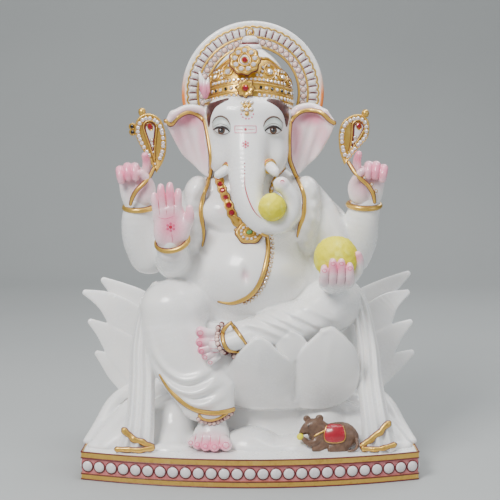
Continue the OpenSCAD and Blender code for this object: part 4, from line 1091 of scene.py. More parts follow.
class Finish:
    """One node material, built up from expressions."""

    def __init__(self, name):
        self.mat = bpy.data.materials.new(name)
        self.mat.use_nodes = True
        self.tree = self.mat.node_tree
        self.shader = self.tree.nodes["Principled BSDF"]

    def node(self, kind, settings=None, output=0, **values):
        """Any node: its type, its settings, then the values or links of its sockets."""
        n = self.tree.nodes.new(kind)
        for key, value in (settings or {}).items():
            setattr(n, key, value)
        for key, value in values.items():
            socket = n.inputs[key.replace("_", " ")]
            if isinstance(value, Wire):
                self.tree.links.new(value.socket, socket)
            else:
                socket.default_value = value
        return Wire(self.tree, n.outputs[output])

    def noise(self, scale, detail=3.0, rough=0.5, warp=0.0):
        """Noise in metres on the idol itself."""
        here = self.node("ShaderNodeNewGeometry")
        return self.node("ShaderNodeTexNoise", None, 0, Vector=here, Scale=scale, Detail=detail,
                         Roughness=rough, Distortion=warp)

    def mix(self, amount, a, b):
        n = self.tree.nodes.new("ShaderNodeMix")
        n.data_type = "RGBA"
        for index, value in ((0, amount), (6, a), (7, b)):
            if isinstance(value, Wire):
                self.tree.links.new(value.socket, n.inputs[index])
            elif index:
                n.inputs[index].default_value = (*value, 1.0)
            else:
                n.inputs[index].default_value = value
        return Wire(self.tree, n.outputs[2])

    def bump(self, height, strength, distance):
        return self.node("ShaderNodeBump", None, 0, Height=height, Strength=strength, Distance=distance)

    def wear(self, **values):
        """Sets the shader's sockets and hands back the material."""
        names = {"Specular": "Specular IOR Level", "Coat": "Coat Weight", "Scatter": "Subsurface Weight"}
        for key, value in values.items():
            socket = self.shader.inputs[names.get(key, key.replace("_", " "))]
            if isinstance(value, Wire):
                self.tree.links.new(value.socket, socket)
            elif isinstance(value, tuple) and len(value) == 3 and socket.type == "RGBA":
                socket.default_value = (*value, 1.0)
            else:
                socket.default_value = value
        return self.mat


def srgb(r, g, b):
    """A colour of 0 to 255 in the shader's linear units."""
    return tuple((c / 255 / 12.92 if c <= 10 else ((c / 255 + 0.055) / 1.055) ** 2.4) for c in (r, g, b))


def marble_finish(white, pink):
    f = Finish("polished white marble")
    cloud = f.noise(9.0, 5.0, 0.6, 0.4)
    vein = 1.0 - (f.noise(5.0, 6.0, 0.62, 1.1) - 0.5).math("ABSOLUTE").above(0.0, 0.035)
    base = f.mix(cloud.above(0.35, 0.4), white, srgb(236, 237, 238))
    base = f.mix(vein * cloud.above(0.5, 0.3) * 0.16, base, srgb(206, 200, 190))
    blush = f.node("ShaderNodeAttribute", {"attribute_name": "blush"}, 2)
    soft = (blush * (0.75 + 0.5 * f.noise(90.0, 3.0))).clamp()
    base = f.mix(soft, base, pink)
    glow = f.node("ShaderNodeAttribute", {"attribute_name": "glow"}, 2)
    base = f.mix((glow * (0.85 + 0.3 * f.noise(60.0, 3.0))).clamp(), base, srgb(244, 136, 52))
    fine = f.noise(320.0, 3.0, 0.6)
    return f.wear(Base_Color=base, Roughness=0.2 + 0.1 * cloud + 0.04 * fine, Coat=0.35,
                  Coat_Roughness=0.08, Scatter=0.22, Subsurface_Radius=(0.006, 0.005, 0.004),
                  Subsurface_Scale=1.0, Normal=f.bump(cloud * 0.6 + fine * 0.4, 0.05, 0.0006))


def gold_finish(yellow):
    f = Finish("gold leaf")
    patch, fine = f.noise(140.0, 4.0, 0.6, 0.3), f.noise(700.0, 3.0)
    worn = patch.above(0.52, 0.25)
    base = f.mix(worn * 0.5, yellow, srgb(158, 114, 46))
    base = f.mix(f.noise(60.0, 3.0).above(0.6, 0.2) * 0.5, base, srgb(240, 212, 130))
    return f.wear(Base_Color=base, Metallic=0.7, Roughness=0.24 + 0.2 * patch, Coat=0.3, Coat_Roughness=0.1,
                  Normal=f.bump(patch * 0.7 + fine * 0.3, 0.3, 0.0004))


def paint_finish(name, colour, second, scale=160.0, rough=0.34, coat=0.3):
    f = Finish(name)
    wash, fine = f.noise(scale, 4.0, 0.6), f.noise(900.0, 2.0)
    return f.wear(Base_Color=f.mix(wash.above(0.35, 0.35), colour, second), Roughness=rough + 0.16 * wash,
                  Coat=coat, Coat_Roughness=0.15, Normal=f.bump(wash * 0.6 + fine * 0.4, 0.18, 0.0003))


def stone_finish(name, colour, glow):
    f = Finish(name)
    flaw = f.noise(420.0, 3.0)
    return f.wear(Base_Color=f.mix(flaw.above(0.4, 0.3) * 0.6, colour, glow), Roughness=0.04 + 0.06 * flaw,
                  Metallic=0.35, Specular=0.9, Coat=0.8, Coat_Roughness=0.03)


def crystal_finish():
    f = Finish("clear foiled crystal")
    flaw = f.noise(600.0, 3.0)
    return f.wear(Base_Color=f.mix(flaw.above(0.42, 0.25), srgb(250, 246, 248), srgb(206, 194, 198)),
                  Roughness=0.06 + 0.08 * flaw, Metallic=0.35, Specular=0.9, Coat=0.8, Coat_Roughness=0.03)


def sweet_finish():
    f = Finish("yellow sweetmeat")
    crumb, patch = f.noise(260.0, 4.0, 0.7), f.noise(60.0, 4.0, 0.6, 0.6)
    base = f.mix(patch.above(0.5, 0.2), srgb(232, 222, 0), srgb(240, 238, 90))
    base = f.mix(crumb.above(0.58, 0.12) * 0.5, base, srgb(190, 168, 0))
    return f.wear(Base_Color=base, Roughness=0.5 + 0.2 * crumb, Coat=0.08, Coat_Roughness=0.3,
                  Normal=f.bump(crumb * 0.5 + patch * 0.5, 0.5, 0.0012))


def fur_finish():
    f = Finish("brown mouse paint")
    wash, fine = f.noise(180.0, 4.0, 0.6), f.noise(800.0, 3.0)
    return f.wear(Base_Color=f.mix(wash.above(0.35, 0.35), srgb(116, 88, 70), srgb(84, 60, 46)),
                  Roughness=0.4 + 0.15 * wash, Coat=0.25, Normal=f.bump(wash * 0.5 + fine * 0.5, 0.3,
            0.0005))


FINISHES = {}
PAINTS = {
    "maroon": ("maroon outline", srgb(112, 30, 34), srgb(84, 22, 30)),
    "rose": ("rose frieze paint", srgb(206, 128, 130), srgb(186, 98, 102), 220.0),
    "pearl": ("white bead paint", srgb(236, 232, 232), srgb(212, 206, 208), 90.0, 0.2),
    "blushbead": ("blush bead paint", srgb(238, 208, 200), srgb(224, 186, 176), 120.0, 0.22),
    "pink": ("pink brush line", srgb(228, 96, 138), srgb(214, 74, 118), 200.0),
    "red": ("red brush line", srgb(196, 30, 62), srgb(170, 20, 50), 200.0),
    "hair": ("brown hair paint", srgb(84, 46, 42), srgb(52, 28, 26), 260.0),
    "lash": ("dark lid line", srgb(52, 40, 40), srgb(34, 28, 30), 200.0),
    "brow": ("brown brow line", srgb(112, 84, 72), srgb(84, 60, 50), 200.0),
    "shadow": ("soft grey lid", srgb(196, 204, 200), srgb(172, 182, 178), 90.0),
    "eyewhite": ("eye white", srgb(238, 238, 238), srgb(224, 226, 228), 120.0, 0.16),
    "iris": ("brown iris", srgb(110, 76, 56), srgb(70, 46, 36), 300.0, 0.14),
    "saddle": ("red saddle paint", srgb(176, 28, 48), srgb(150, 18, 40), 90.0, 0.2, 0.7),
}
STONES = {
    "ruby": ("red stone", srgb(170, 18, 44), srgb(110, 6, 26)),
    "jet": ("black stone", srgb(22, 22, 26), srgb(40, 40, 46)),
    "green": ("green stone", srgb(96, 170, 96), srgb(150, 200, 130)),
}


def mix_finishes(sizes):
    """Makes every finish of the idol once, by its short name."""
    FINISHES["marble"] = marble_finish(tuple(sizes.marble_colour), tuple(sizes.blush_colour))
    FINISHES["gold"] = gold_finish(tuple(sizes.gold_colour))
    for name, recipe in PAINTS.items():
        FINISHES[name] = paint_finish(*recipe)
    for name, recipe in STONES.items():
        FINISHES[name] = stone_finish(*recipe)
    FINISHES["crystal"] = crystal_finish()
    FINISHES["sweet"] = sweet_finish()
    FINISHES["fur"] = fur_finish()


# ---------------------------------------------------------------- pieces


def build_figure(sizes):
    """Carves the whole figure in one block, then the hands and feet at a finer grain."""
    v = sizes.carving_grain / MM
    block = Stone((-252, -136, -3), (252, 132, 548), v)
    for work in (carve_torso, carve_head, carve_ears, carve_arms, carve_legs, carve_lotus, carve_scarves,
                 carve_crown):
        work(block)
    fold_cloth(block)
    SKIN.bare()
    for name in block.parts:
        show_part(block, name)
    fine = v * 0.6
    for name, work, low, high in (("rear_hand_right", lambda s: carve_rear_hand(s, -1, "rear_hand_right"),
            (-200, -60, 300), (-105, 22, 402)), ("rear_hand_left", lambda s: carve_rear_hand(s, 1,
            "rear_hand_left"), (110, -60, 302), (205, 22, 404)), ("front_hand_right", carve_open_hand,
            (-145, -105, 245), (-65, -45, 368)), ("front_hand_left", carve_holding_hand, (78, -140, 200),
            (165, -60, 288)), ("crossed_foot", carve_crossed_foot, (-90, -132, 105), (30, -66, 185)),
            ("planted_foot", carve_planted_foot, (-98, -134, -2), (-15, -50, 76))):
        small = Stone(low, high, fine)
        work(small)
        show_part(small, name, WHOLE)


def patch(pile, skin, outline, lift=0.35, grain=2.0, material=0, steps=4, depth=1.2):
    """A brushed area: an outline seen from the front, laid over the marble with a small edge."""
    from mathutils.geometry import delaunay_2d_cdt
    rim = smooth_path(list(outline) + [outline[0]], steps)[:-1] if steps > 1 else np.array(outline, float)
    lo, hi = rim.min(0), rim.max(0)
    xs, zs = np.meshgrid(np.arange(lo[0] + grain / 2, hi[0], grain), np.arange(lo[1] + grain / 2, hi[1],
            grain))
    inner = np.stack([xs.ravel(), zs.ravel()], 1)
    keep = polygon_distance(rim, inner[:, 0], inner[:, 1]) < -grain * 0.35
    pts = np.vstack([rim, inner[keep]])
    n = len(rim)
    coords, _, faces, _, _, _ = delaunay_2d_cdt([Vector(q) for q in pts], [], [list(range(n))], 1, 1e-4)
    spots = [skin.front(x, z, lift) for x, z in coords]
    verts = [q[0] for q in spots]
    depth_mid = float(np.median([v[1] for v in verts]))
    for i, v in enumerate(verts):
        if abs(v[1] - depth_mid) > 30:
            v[1] = depth_mid
    faces = [tuple(f) for f in faces]
    sign = 0.0
    for f in faces:
        a, b, c = (coords[i] for i in f[:3])
        sign += (b - a).cross(c - a)
    if sign < 0:
        faces = [f[::-1] for f in faces]
    edges = {}
    for f in faces:
        for i in range(len(f)):
            edges[(f[i], f[(i + 1) % len(f)])] = True
    border = [e for e in edges if (e[1], e[0]) not in edges]
    base = len(verts)
    low = {}
    for a, b in border:
        for q in (a, b):
            if q not in low:
                low[q] = base + len(low)
                verts.append(verts[q] - spots[q][1] * depth)
    faces += [(b, a, low[a], low[b]) for a, b in border]
    pile.add(verts, faces, material)


def stroke(pile, skin, points, width, lift=0.0, material=0, flat=0.45, steps=6, taper=(0.35, 1, 1, 0.35)):
    """A brush line laid over the skin."""
    rows = laid(skin, points, lift, steps)
    tube(pile, rows, [width / 2 * t for t in taper], 7, flat, material)


def gold_cord(pile, rows, width, flat=0.75, taper=(1, 1), outline=0.9):
    """A gold cord with a dark line along both edges (materials 0 gold, 1 maroon)."""
    rows = np.array(rows, float)
    r = [width / 2 * t for t in taper]
    tube(pile, rows, r, 12, flat, 0)
    tube(pile, rows + [0, 0.9, 0], [q + outline for q in r], 10, flat * 0.62, 1)


def laid_gold(pile, skin, points, width, lift=0.6, flat=0.75, taper=(1, 1), outline=0.8, steps=6):
    """A gold cord that follows the skin."""
    gold_cord(pile, laid(skin, points, lift, steps), width, flat, taper, outline)


def gild(pile, name, node):
    """Gold with its dark outline, in place of one CAD node."""
    place(pile.make(name, ["gold", "maroon"]), "gold_leaf", node)


def set_gem(pile, p, n, d, gem_material, gold=0, squash=1.0, roll=0.3):
    """A stone in its gold rim."""
    collet(pile, p, n, d, gold, squash, roll)
    gem(pile, np.array(p) + unit(n) * d * 0.08, n, d * 0.94, gem_material, squash, roll)


# Middle of the halo.
HALO = (4.0, 52.0, 473.0)


def halo_spot(r, a, forward=0.0):
    """a is degrees clockwise from the top seen from the front."""
    w = math.radians(a)
    return np.array([HALO[0] + r * math.sin(w), HALO[1] - 7 - forward, HALO[2] + r * math.cos(w)])


def build_halo(sizes):
    """The stone ring with its gold lines, white flutes and beads."""
    lo, hi = node_span("halo_ring")
    outer = (hi[0] - lo[0]) / 2
    inner = outer - 37
    ring = [(inner + 1.2, -7), (outer - 5.6, -7), (outer - 4.4, -7), (outer - 3.2, -6.9),
            (outer - 0.9, -5.8), (outer, -3.4), (outer, 3.4), (outer - 1.2, 5.8), (outer - 3.5, 7),
            (inner + 3, 7), (inner + 0.8, 6), (inner, 4), (inner, -5.6)]
    sides = 160
    v, f = [], []
    for i in range(sides):
        w = 2 * math.pi * i / sides
        for r, y in ring:
            v.append((HALO[0] + r * math.sin(w), HALO[1] + y, HALO[2] + r * math.cos(w)))
    k = len(ring)
    for i in range(sides):
        for j in range(k):
            f.append((i * k + j, ((i + 1) % sides) * k + j, ((i + 1) % sides) * k + (j + 1) % k,
                      i * k + (j + 1) % k))
    ob = new_object("halo_disc", v, np.array(f), ["marble"])
    ob.data.set_sharp_from_angle(angle=math.radians(50))
    q = np.array(v) - np.array(HALO)
    turn = np.degrees(np.abs(np.arctan2(q[:, 0], q[:, 2])))
    out = np.hypot(q[:, 0], q[:, 2])
    glow = np.clip((turn - 70) / 22, 0, 1) * np.clip((132 - turn) / 6, 0,
            1) * np.clip((out - outer + 5.4) / 1.4, 0, 1)
    ob.data.attributes.new("glow", "FLOAT", "POINT").data.foreach_set("value", glow.astype(np.float32))
    place(ob, "white_marble", "halo_ring")

    rims = Pile()
    span = np.arange(-116, 116.1, 2.0)
    for r, w in ((outer - 22.6, 3.0), (outer - 35.0, 3.2)):
        gold_cord(rims, [halo_spot(r, a, 0.3) for a in span], w, 0.8, outline=0.5)
    n = sizes.halo_flutes
    step = 360.0 / n
    wave = []
    for a in np.arange(-114, 114.1, step / 8):
        bow = abs(math.cos(math.pi * a / step))
        wave.append(halo_spot(outer - 9.2 + 1.8 * bow, a, 0.3))
    gold_cord(rims, wave, 2.6, 0.8, outline=0.5)
    gild(rims, "halo_gold_lines", "halo_gold_rims")

    flutes = Pile()
    a = -step * int(112 / step) - step / 2
    while a < 114:
        rows = []
        for t in np.linspace(0, 1, 7):
            rows.append(halo_spot(outer - 21.0 + 10.6 * t, a, 0.2))
        tan = rows[-1] - rows[0]
        half = math.radians(step) * (outer - 16) * 0.43
        verts, faces = [], []
        u = unit(np.cross(tan, (0, -1, 0)))
        for i, t in enumerate(np.linspace(0, 1, 7)):
            wide = half * (0.86 + 0.14 * t) * (1 - 0.5 * max(0, abs(t - 0.5) * 2 - 0.72) / 0.28)
            high = 2.6 * (1 - max(0, abs(t - 0.5) * 2 - 0.6) / 0.4 * 0.55)
            for j in range(9):
                w = math.pi * j / 8
                verts.append(rows[0] + tan * t + u * wide * math.cos(w) * -1
                             + np.array([0, -1, 0]) * high * math.sin(w) ** 0.7 + np.array([0, 0.6, 0]))
        for i in range(6):
            for j in range(8):
                faces.append((i * 9 + j, (i + 1) * 9 + j, (i + 1) * 9 + j + 1, i * 9 + j + 1))
        faces.append(tuple(range(9)))
        faces.append(tuple(range(62, 53, -1)))
        flutes.add(verts, faces, 0)
        tube(flutes, [halo_spot(outer - 21.5, a + step / 2, 0.2), halo_spot(outer - 10.0, a + step / 2,
                0.2)], 0.8, 6, 0.8, 1)
        a += step
    place(flutes.make("halo_white_flutes", ["pearl", "maroon"]), "painted_bead", "halo_flutes")

    pearls = Pile()
    n = sizes.halo_pearls
    for i in range(n):
        a = (i + 0.5) * 360 / n - 180
        if abs(a) < 113:
            p = halo_spot(outer - 28.8, a, 0.0)
            revolve(pearls, [(4.3, -0.4), (4.25, 0.5), (3.9, 0.7)], p, (0, -1, 0), 16, material=1)
            bead(pearls, p, (0, -1, 0), 3.75, 0, 16)
    place(pearls.make("halo_bead_row", ["blushbead", "maroon"]), "painted_bead", "halo_pearls")


def on_crown(w, z, off=0.0):
    """Point and normal on the crown at w degrees from the front and height z."""
    t = [np.interp(z, [r[0] for r in CROWN_ROWS], [r[i] for r in CROWN_ROWS]) for i in (1, 2, 3)]
    c, s = math.cos(math.radians(w)), math.sin(math.radians(w))
    n = unit((s / t[0] * 50, -c / t[1] * 50, np.interp(z, (462, 476, 490, 502, 513, 524),
            (0, .2, .4, .6, .85, 1.1))))
    return np.array([-1.5 + t[0] * s, t[2] - t[1] * c, z]) + n * off, n


def crown_at_x(x, z, off=0.0):
    a = np.interp(z, [r[0] for r in CROWN_ROWS], [r[1] for r in CROWN_ROWS])
    return on_crown(math.degrees(math.asin(max(-0.999, min(0.999, (x + 1.5) / a)))), z, off)


def build_crown_gold(sizes):
    """The crown's gold band, scrolls, medallion, flower, stones and finial."""
    plate = Pile()
    ws = np.arange(-104, 104.1, 3.0)

    def low(w):
        return 456 + 10 * math.cos(math.radians(w)) ** 2

    def high(w):
        top = np.interp(abs(w), (0, 28, 42, 56, 66, 78, 92, 104), (516, 519, 517, 509, 502, 495, 489, 485))
        return float(top) + 2.4 * abs(math.sin(math.radians(w * 6)))
    rows = 15
    v, f = [], []
    for off in (2.2, -1.0):
        for w in ws:
            for j in range(rows):
                t = j / (rows - 1)
                lip = 1.0 if 0 < j < rows - 1 else 0.55
                v.append(on_crown(w, low(w) + (high(w) - low(w)) * t, off * lip)[0])
    n = len(ws) * rows
    for i in range(len(ws) - 1):
        for j in range(rows - 1):
            a, b, c, d = i * rows + j, (i + 1) * rows + j, (i + 1) * rows + j + 1, i * rows + j + 1
            f.append((a, b, c, d))
            f.append((n + a, n + d, n + c, n + b))
    for i in range(len(ws) - 1):
        a, b = i * rows, (i + 1) * rows
        f.append((a, n + a, n + b, b))
        a, b = a + rows - 1, b + rows - 1
        f.append((a, b, n + b, n + a))
    for i, flip in ((0, False), (len(ws) - 1, True)):
        for j in range(rows - 1):
            q = (i * rows + j, i * rows + j + 1, n + i * rows + j + 1, n + i * rows + j)
            f.append(q[::-1] if flip else q)
    plate.add(v, f, 0)
    lines = ((lambda w: low(w) + 0.6, 2.2), (lambda w: low(w) + 10.2, 2.4), (lambda w: low(w) + 20.4, 2.8),
             (lambda w: high(w) - 0.4, 2.6))
    for z, width in lines:
        gold_cord(plate, [on_crown(w, z(w), 2.4)[0] for w in ws], width, 0.8, outline=0.5)
    # Paisley scrolls over the band, each curled round its own stone.
    scrolls = ((27, 501, 8.5, 0.5), (43.5, 494, 6.5, 0.75), (53.5, 486, 4.6, 0.9))
    for s in (-1, 1):
        for x, z, r, lean in scrolls:
            curl = []
            for i in range(26):
                a = -1.9 + i * 0.27
                rr = r * (1.18 - 0.028 * i) * (1 + 0.35 * max(0, math.sin(a)) ** 2)
                curl.append((x - lean * max(0, math.sin(a)) * r * 0.55 + rr * math.cos(a),
                             z + rr * math.sin(a)))
            rows3 = [crown_at_x(s * cx - 1.5, cz, 3.0)[0] for cx, cz in curl]
            gold_cord(plate, rows3, 2.8, 0.9, (0.5, 1, 1, 0.8), outline=0.8)
    # Medallion and centre flower.
    m_n = unit((0, -1, 0.42))
    m_p = np.array([-7, -41.0, 517.0])
    revolve(plate, [(12, -24), (16, -14), (19.5, -7), (20.5, -1), (19.6, 1.6), (17.4, 2.4), (15.4, 1.2),
                    (9.4, 1.2)], m_p, m_n, 72, material=0, lobes=(9, 0.055))
    revolve(plate, [(20.6, -3), (21.4, -0.6), (20.4, 0.2)], m_p, m_n, 72, material=1, lobes=(9, 0.055))
    x, y, nn = basis(m_n)
    drop = []
    for w in np.linspace(0, 2 * math.pi, 41):
        tip = max(0, math.sin(w)) ** 3
        drop.append(m_p + nn * 2.4 + x * 8.0 * math.cos(w) * (1 - 0.35 * tip) + y
                    * (8.0 * math.sin(w) + 3.6 * tip - 0.8))
    gold_cord(plate, drop, 2.4, 0.9, outline=0.7)
    f_p, f_n = np.array([-6, -53.5, 480.0]), unit((0, -1, 0.12))
    revolve(plate, [(10.4, -6), (11.2, -0.4), (10.4, 1.8), (8.8, 2.2), (7.2, 1.2)], f_p, f_n, 64,
            material=0, lobes=(8, 0.11))
    revolve(plate, [(11.2, -3), (12.0, -1), (11.0, -0.2)], f_p, f_n, 64, material=1, lobes=(8, 0.11))
    gild(plate, "crown_goldwork", "crown_gold_relief")

    gems = Pile()
    mats = ["gold", "crystal", "ruby", "jet", "pearl"]
    for w in np.arange(-92, 92.1, 6.6):
        if abs(w) > 11:
            p, nn = on_crown(w, low(w) + 5.4, 2.2)
            set_gem(gems, p, nn, 4.8, 1)
    for i, w in enumerate(np.arange(-88, 88.1, 8.0)):
        if abs(w) > 13:
            p, nn = on_crown(w, low(w) + 15.2, 2.2)
            set_gem(gems, p, nn, 5.0, 3 if i % 2 else 1)
    for w in np.arange(-92, 92.1, 5.6):
        if abs(w) > 10:
            p, nn = on_crown(w, low(w) - 1.8, 1.6)
            revolve(gems, [(3.3, -0.8), (3.3, 0.3), (2.8, 0.6)], p, nn, 14, material=0)
            gem(gems, p + nn * 0.8, nn, 4.6, 1)
    for w in np.arange(-99, 99.1, 6.0):
        for k, lift in enumerate((25.4, 31.0, 36.6, 42.2)):
            turn = w + 3.0 * (k % 2)
            z = low(turn) + lift
            p, nn = on_crown(turn, z, 2.4)
            clear = math.hypot(p[0] - m_p[0], p[2] - m_p[2]) > 23.5 and math.hypot(p[0] - f_p[0],
                    p[2] - f_p[2]) > 12
            near = min(math.hypot(abs(p[0] + 1.5) - x0, p[2] - z0) - r0 for x0, z0, r0, _ in scrolls)
            if z < high(turn) - 3.2 and clear and near > 0.6:
                set_gem(gems, p, nn, 4.6, 1)
    x, y, nn = basis(m_n)
    for i in range(9):
        a = math.radians(i * 40 + 90)
        set_gem(gems, m_p + (x * math.cos(a) + y * math.sin(a)) * 13.6 + nn * 1.8, nn, 7.4, 1)
    revolve(gems, [(7.4, 0.2), (7.2, 1.8), (5.4, 2.2)], m_p + y * -0.4, nn, 28, material=4, squash=1.05)
    set_gem(gems, m_p + nn * 2.8 + y * -0.6, nn, 7.4, 2, squash=1.1)
    set_gem(gems, f_p + f_n * 1.4, f_n, 8.6, 2)
    for s in (-1, 1):
        for x0, z, r, lean in scrolls:
            p, nn = crown_at_x(s * x0 - 1.5, z - 0.5, 2.6)
            set_gem(gems, p, nn, r * 1.05, 1)
            p, nn = crown_at_x(s * (x0 - lean * r * 0.4) - 1.5, z + r * 0.95, 2.4)
            set_gem(gems, p, nn, r * 0.55, 1)
    place(gems.make("crown_jewels", mats, smooth=False), "set_stones", "crown_stones")

    top = Pile()
    c = (0, 8, 0)
    up = (0, 0, 1)
    revolve(top, [(16, 531.5), (16.6, 534), (15.6, 536.5), (13.0, 539.0), (10.4, 540.2)], c, up, 32,
            material=2)
    revolve(top, [(11.2, 538.2), (12.2, 540.4), (11.2, 542.0)], c, up, 32, material=1)
    revolve(top, [(10.6, 541.0), (11.6, 543.0), (11.0, 546.4), (8.6, 549.6), (4.6, 551.2)], c, up, 32,
            material=2)
    tube(top, [(0.2 + 5.2 * math.cos(a), 6, 555.4 + 5.2 * math.sin(a))
               for a in np.linspace(-0.9, 4.04, 26)], 1.1, 8, material=0)
    revolve(top, [(2.2, 551), (2.8, 554), (1.6, 557.4)], (0.2, 6.5, 0), up, 16, material=0)
    place(top.make("crown_top", ["gold", "maroon", "pearl"]), "gold_leaf", "crown_finial")


def build_bud(sizes):
    """A three-petalled bud, pink at its base and white at its tip."""
    petals = Pile()
    for rows in ([(-60, -32, 468, 3.4), (-61, -33, 475, 5.6), (-63, -33, 484, 5.4), (-66, -32, 494, 3.4),
                  (-68, -31, 502, 1.0)], [(-60, -33, 468, 3.0), (-58.5, -34, 476, 4.6),
            (-57.6, -34, 485, 3.6), (-56, -33, 494, 1.0)], [(-61, -34, 468, 2.8), (-61.5, -36, 476, 4.0),
            (-61.5, -36, 484, 3.0), (-62, -35, 491, 0.9)]):
        path = smooth_path(rows, 5)
        tube(petals, path[:, :3], list(path[:, 3]), 12, 0.75, 0)
    ob = petals.make("flower_bud_petals", ["marble"])
    z = np.array([q.co.z for q in ob.data.vertices]) / MM - TOP
    att = ob.data.attributes.new("blush", "FLOAT", "POINT")
    att.data.foreach_set("value", np.clip((491 - z) / 9, 0, 1)
                         .astype(np.float32))
    place(ob, "pink_paint", "flower_bud")


def build_head_ornaments(sizes):
    """Forehead drop, ear gold, tusks and their cuffs."""
    SKIN.ready()
    pearls = Pile()
    for x, z, r, m in ((-9.4, 461, 2.6, 1), (-3.6, 462, 2.6, 1), (1.6, 461, 2.6, 1), (-7.2, 456.6, 2.5, 0),
            (-1.2, 456.6, 2.5, 0), (-9.8, 452.4, 2.7, 1), (-4.2, 451.4, 2.9, 1), (1.4, 452.4, 2.7, 1),
            (-4.2, 446.4, 2.5, 0)):
        p, nn = SKIN.front(x, z, 0.6)
        revolve(pearls, [(r + 0.5, -0.8), (r + 0.5, 0.3), (r, 0.6)], p, nn, 14, material=0)
        if m:
            gem(pearls, p + nn * 0.8, nn, r * 1.9, 1)
        else:
            bead(pearls, p, nn, r, 0, 12)
    place(pearls.make("forehead_drop", ["gold", "crystal"]), "painted_bead", "forehead_pendant")

    for s, name in ((-1, "ear_trim_right"), (1, "ear_trim_left")):
        cords = Pile()
        face = ear_depth(s)
        if s < 0:
            top = [(-114, 436), (-107, 431.5), (-100, 440), (-89, 447), (-79, 448), (-70, 443), (-62, 436)]
            down = [(-61, 437), (-57, 420), (-54, 404), (-52, 388), (-53, 373), (-56, 357)]
        else:
            top = [(114, 433), (108, 437), (97, 447), (82, 451), (69, 449), (60, 442), (54, 433)]
            down = [(54, 434), (52.5, 418), (52.5, 400), (55, 382), (60, 367), (65, 357)]
        for pts, width, taper in ((top, 5.2, (0.9, 1, 1, 0.8)), (down, 4.6, (0.9, 1, 1, 0.9))):
            q = smooth_path(pts, 6)
            rows = []
            for x, z in q:
                p, _ = SKIN.front(x, z, 0.9)
                if abs(p[1] + 24) > 26:
                    p = np.array([x, float(face(x, z)) - 5.5, z])
                rows.append(p)
            rows = np.array(rows)
            ease(rows, 6)
            gold_cord(cords, rows, width, 0.85, taper, 0.9)
        gild(cords, "ear_gold_" + ("right" if s < 0 else "left"), name)

    for s, name, path in ((-1, "tusk_right", [(-22, -52, 378, 6.6), (-29, -60, 374, 6.6),
            (-37, -67, 369, 6.2), (-44, -72, 365, 5.0)]), (1, "tusk_left",
            [(20, -54, 380, 7.4), (26, -66, 377, 7.4), (31, -78, 373, 7), (34, -86, 370, 5.8)])):
        t = Pile()
        p = smooth_path(path, 6)
        tube(t, p[:, :3], list(p[:, 3]), 20, 1.0)
        place(t.make("carved_" + name, ["marble"]), "white_marble", name)
    cuffs = Pile()
    for c, d, r in (((-28.5, -60, 374), (-8, -7, -5), 8.4), ((25.5, -65, 377), (5, -11, -3), 9.4)):
        revolve(cuffs, [(r - 0.6, -2.6), (r + 0.9, -2.2), (r + 1.4, -0.6), (r + 1.0, 0.8), (r - 0.4, 1.2)],
                c, d, 28, material=0)
        revolve(cuffs, [(r - 0.5, 0.6), (r + 0.7, 0.9), (r + 0.5, 2.2), (r - 0.5, 2.6)], c, d, 28,
                material=1)
        revolve(cuffs, [(r - 0.6, 2.4), (r + 0.5, 2.8), (r + 0.3, 3.6), (r - 0.6, 3.9)], c, d, 28,
                material=0)
    place(cuffs.make("tusk_cuffs", ["gold", "red"]), "gold_leaf", "tusk_collars")


ANKLET = ["gold", "maroon", "blushbead"]


def ankle_beads(pile, points, lift, first, pitch, radius, lean):
    """A string of beads in dark rings, laid along an ankle."""
    line = laid(SKIN, [tuple(q) for q in smooth_path(points, 16)], lift, 1)
    far = lengths(line)
    rim = {2.8: [(3.2, -2), (3.2, 0.5), (2.7, 0.9)], 3.0: [(3.5, -2), (3.5, 0.6), (2.9, 1.0)]}[radius]
    for d in np.arange(first, far[-1], pitch):
        i = min(int(np.searchsorted(far, d)), len(line) - 1)
        out = unit(SKIN.front(line[i][0], line[i][2])[1] + np.array(lean))
        revolve(pile, rim, line[i], out, 14, material=1)
        bead(pile, line[i] + out * 0.4, out, radius, 2, 14)


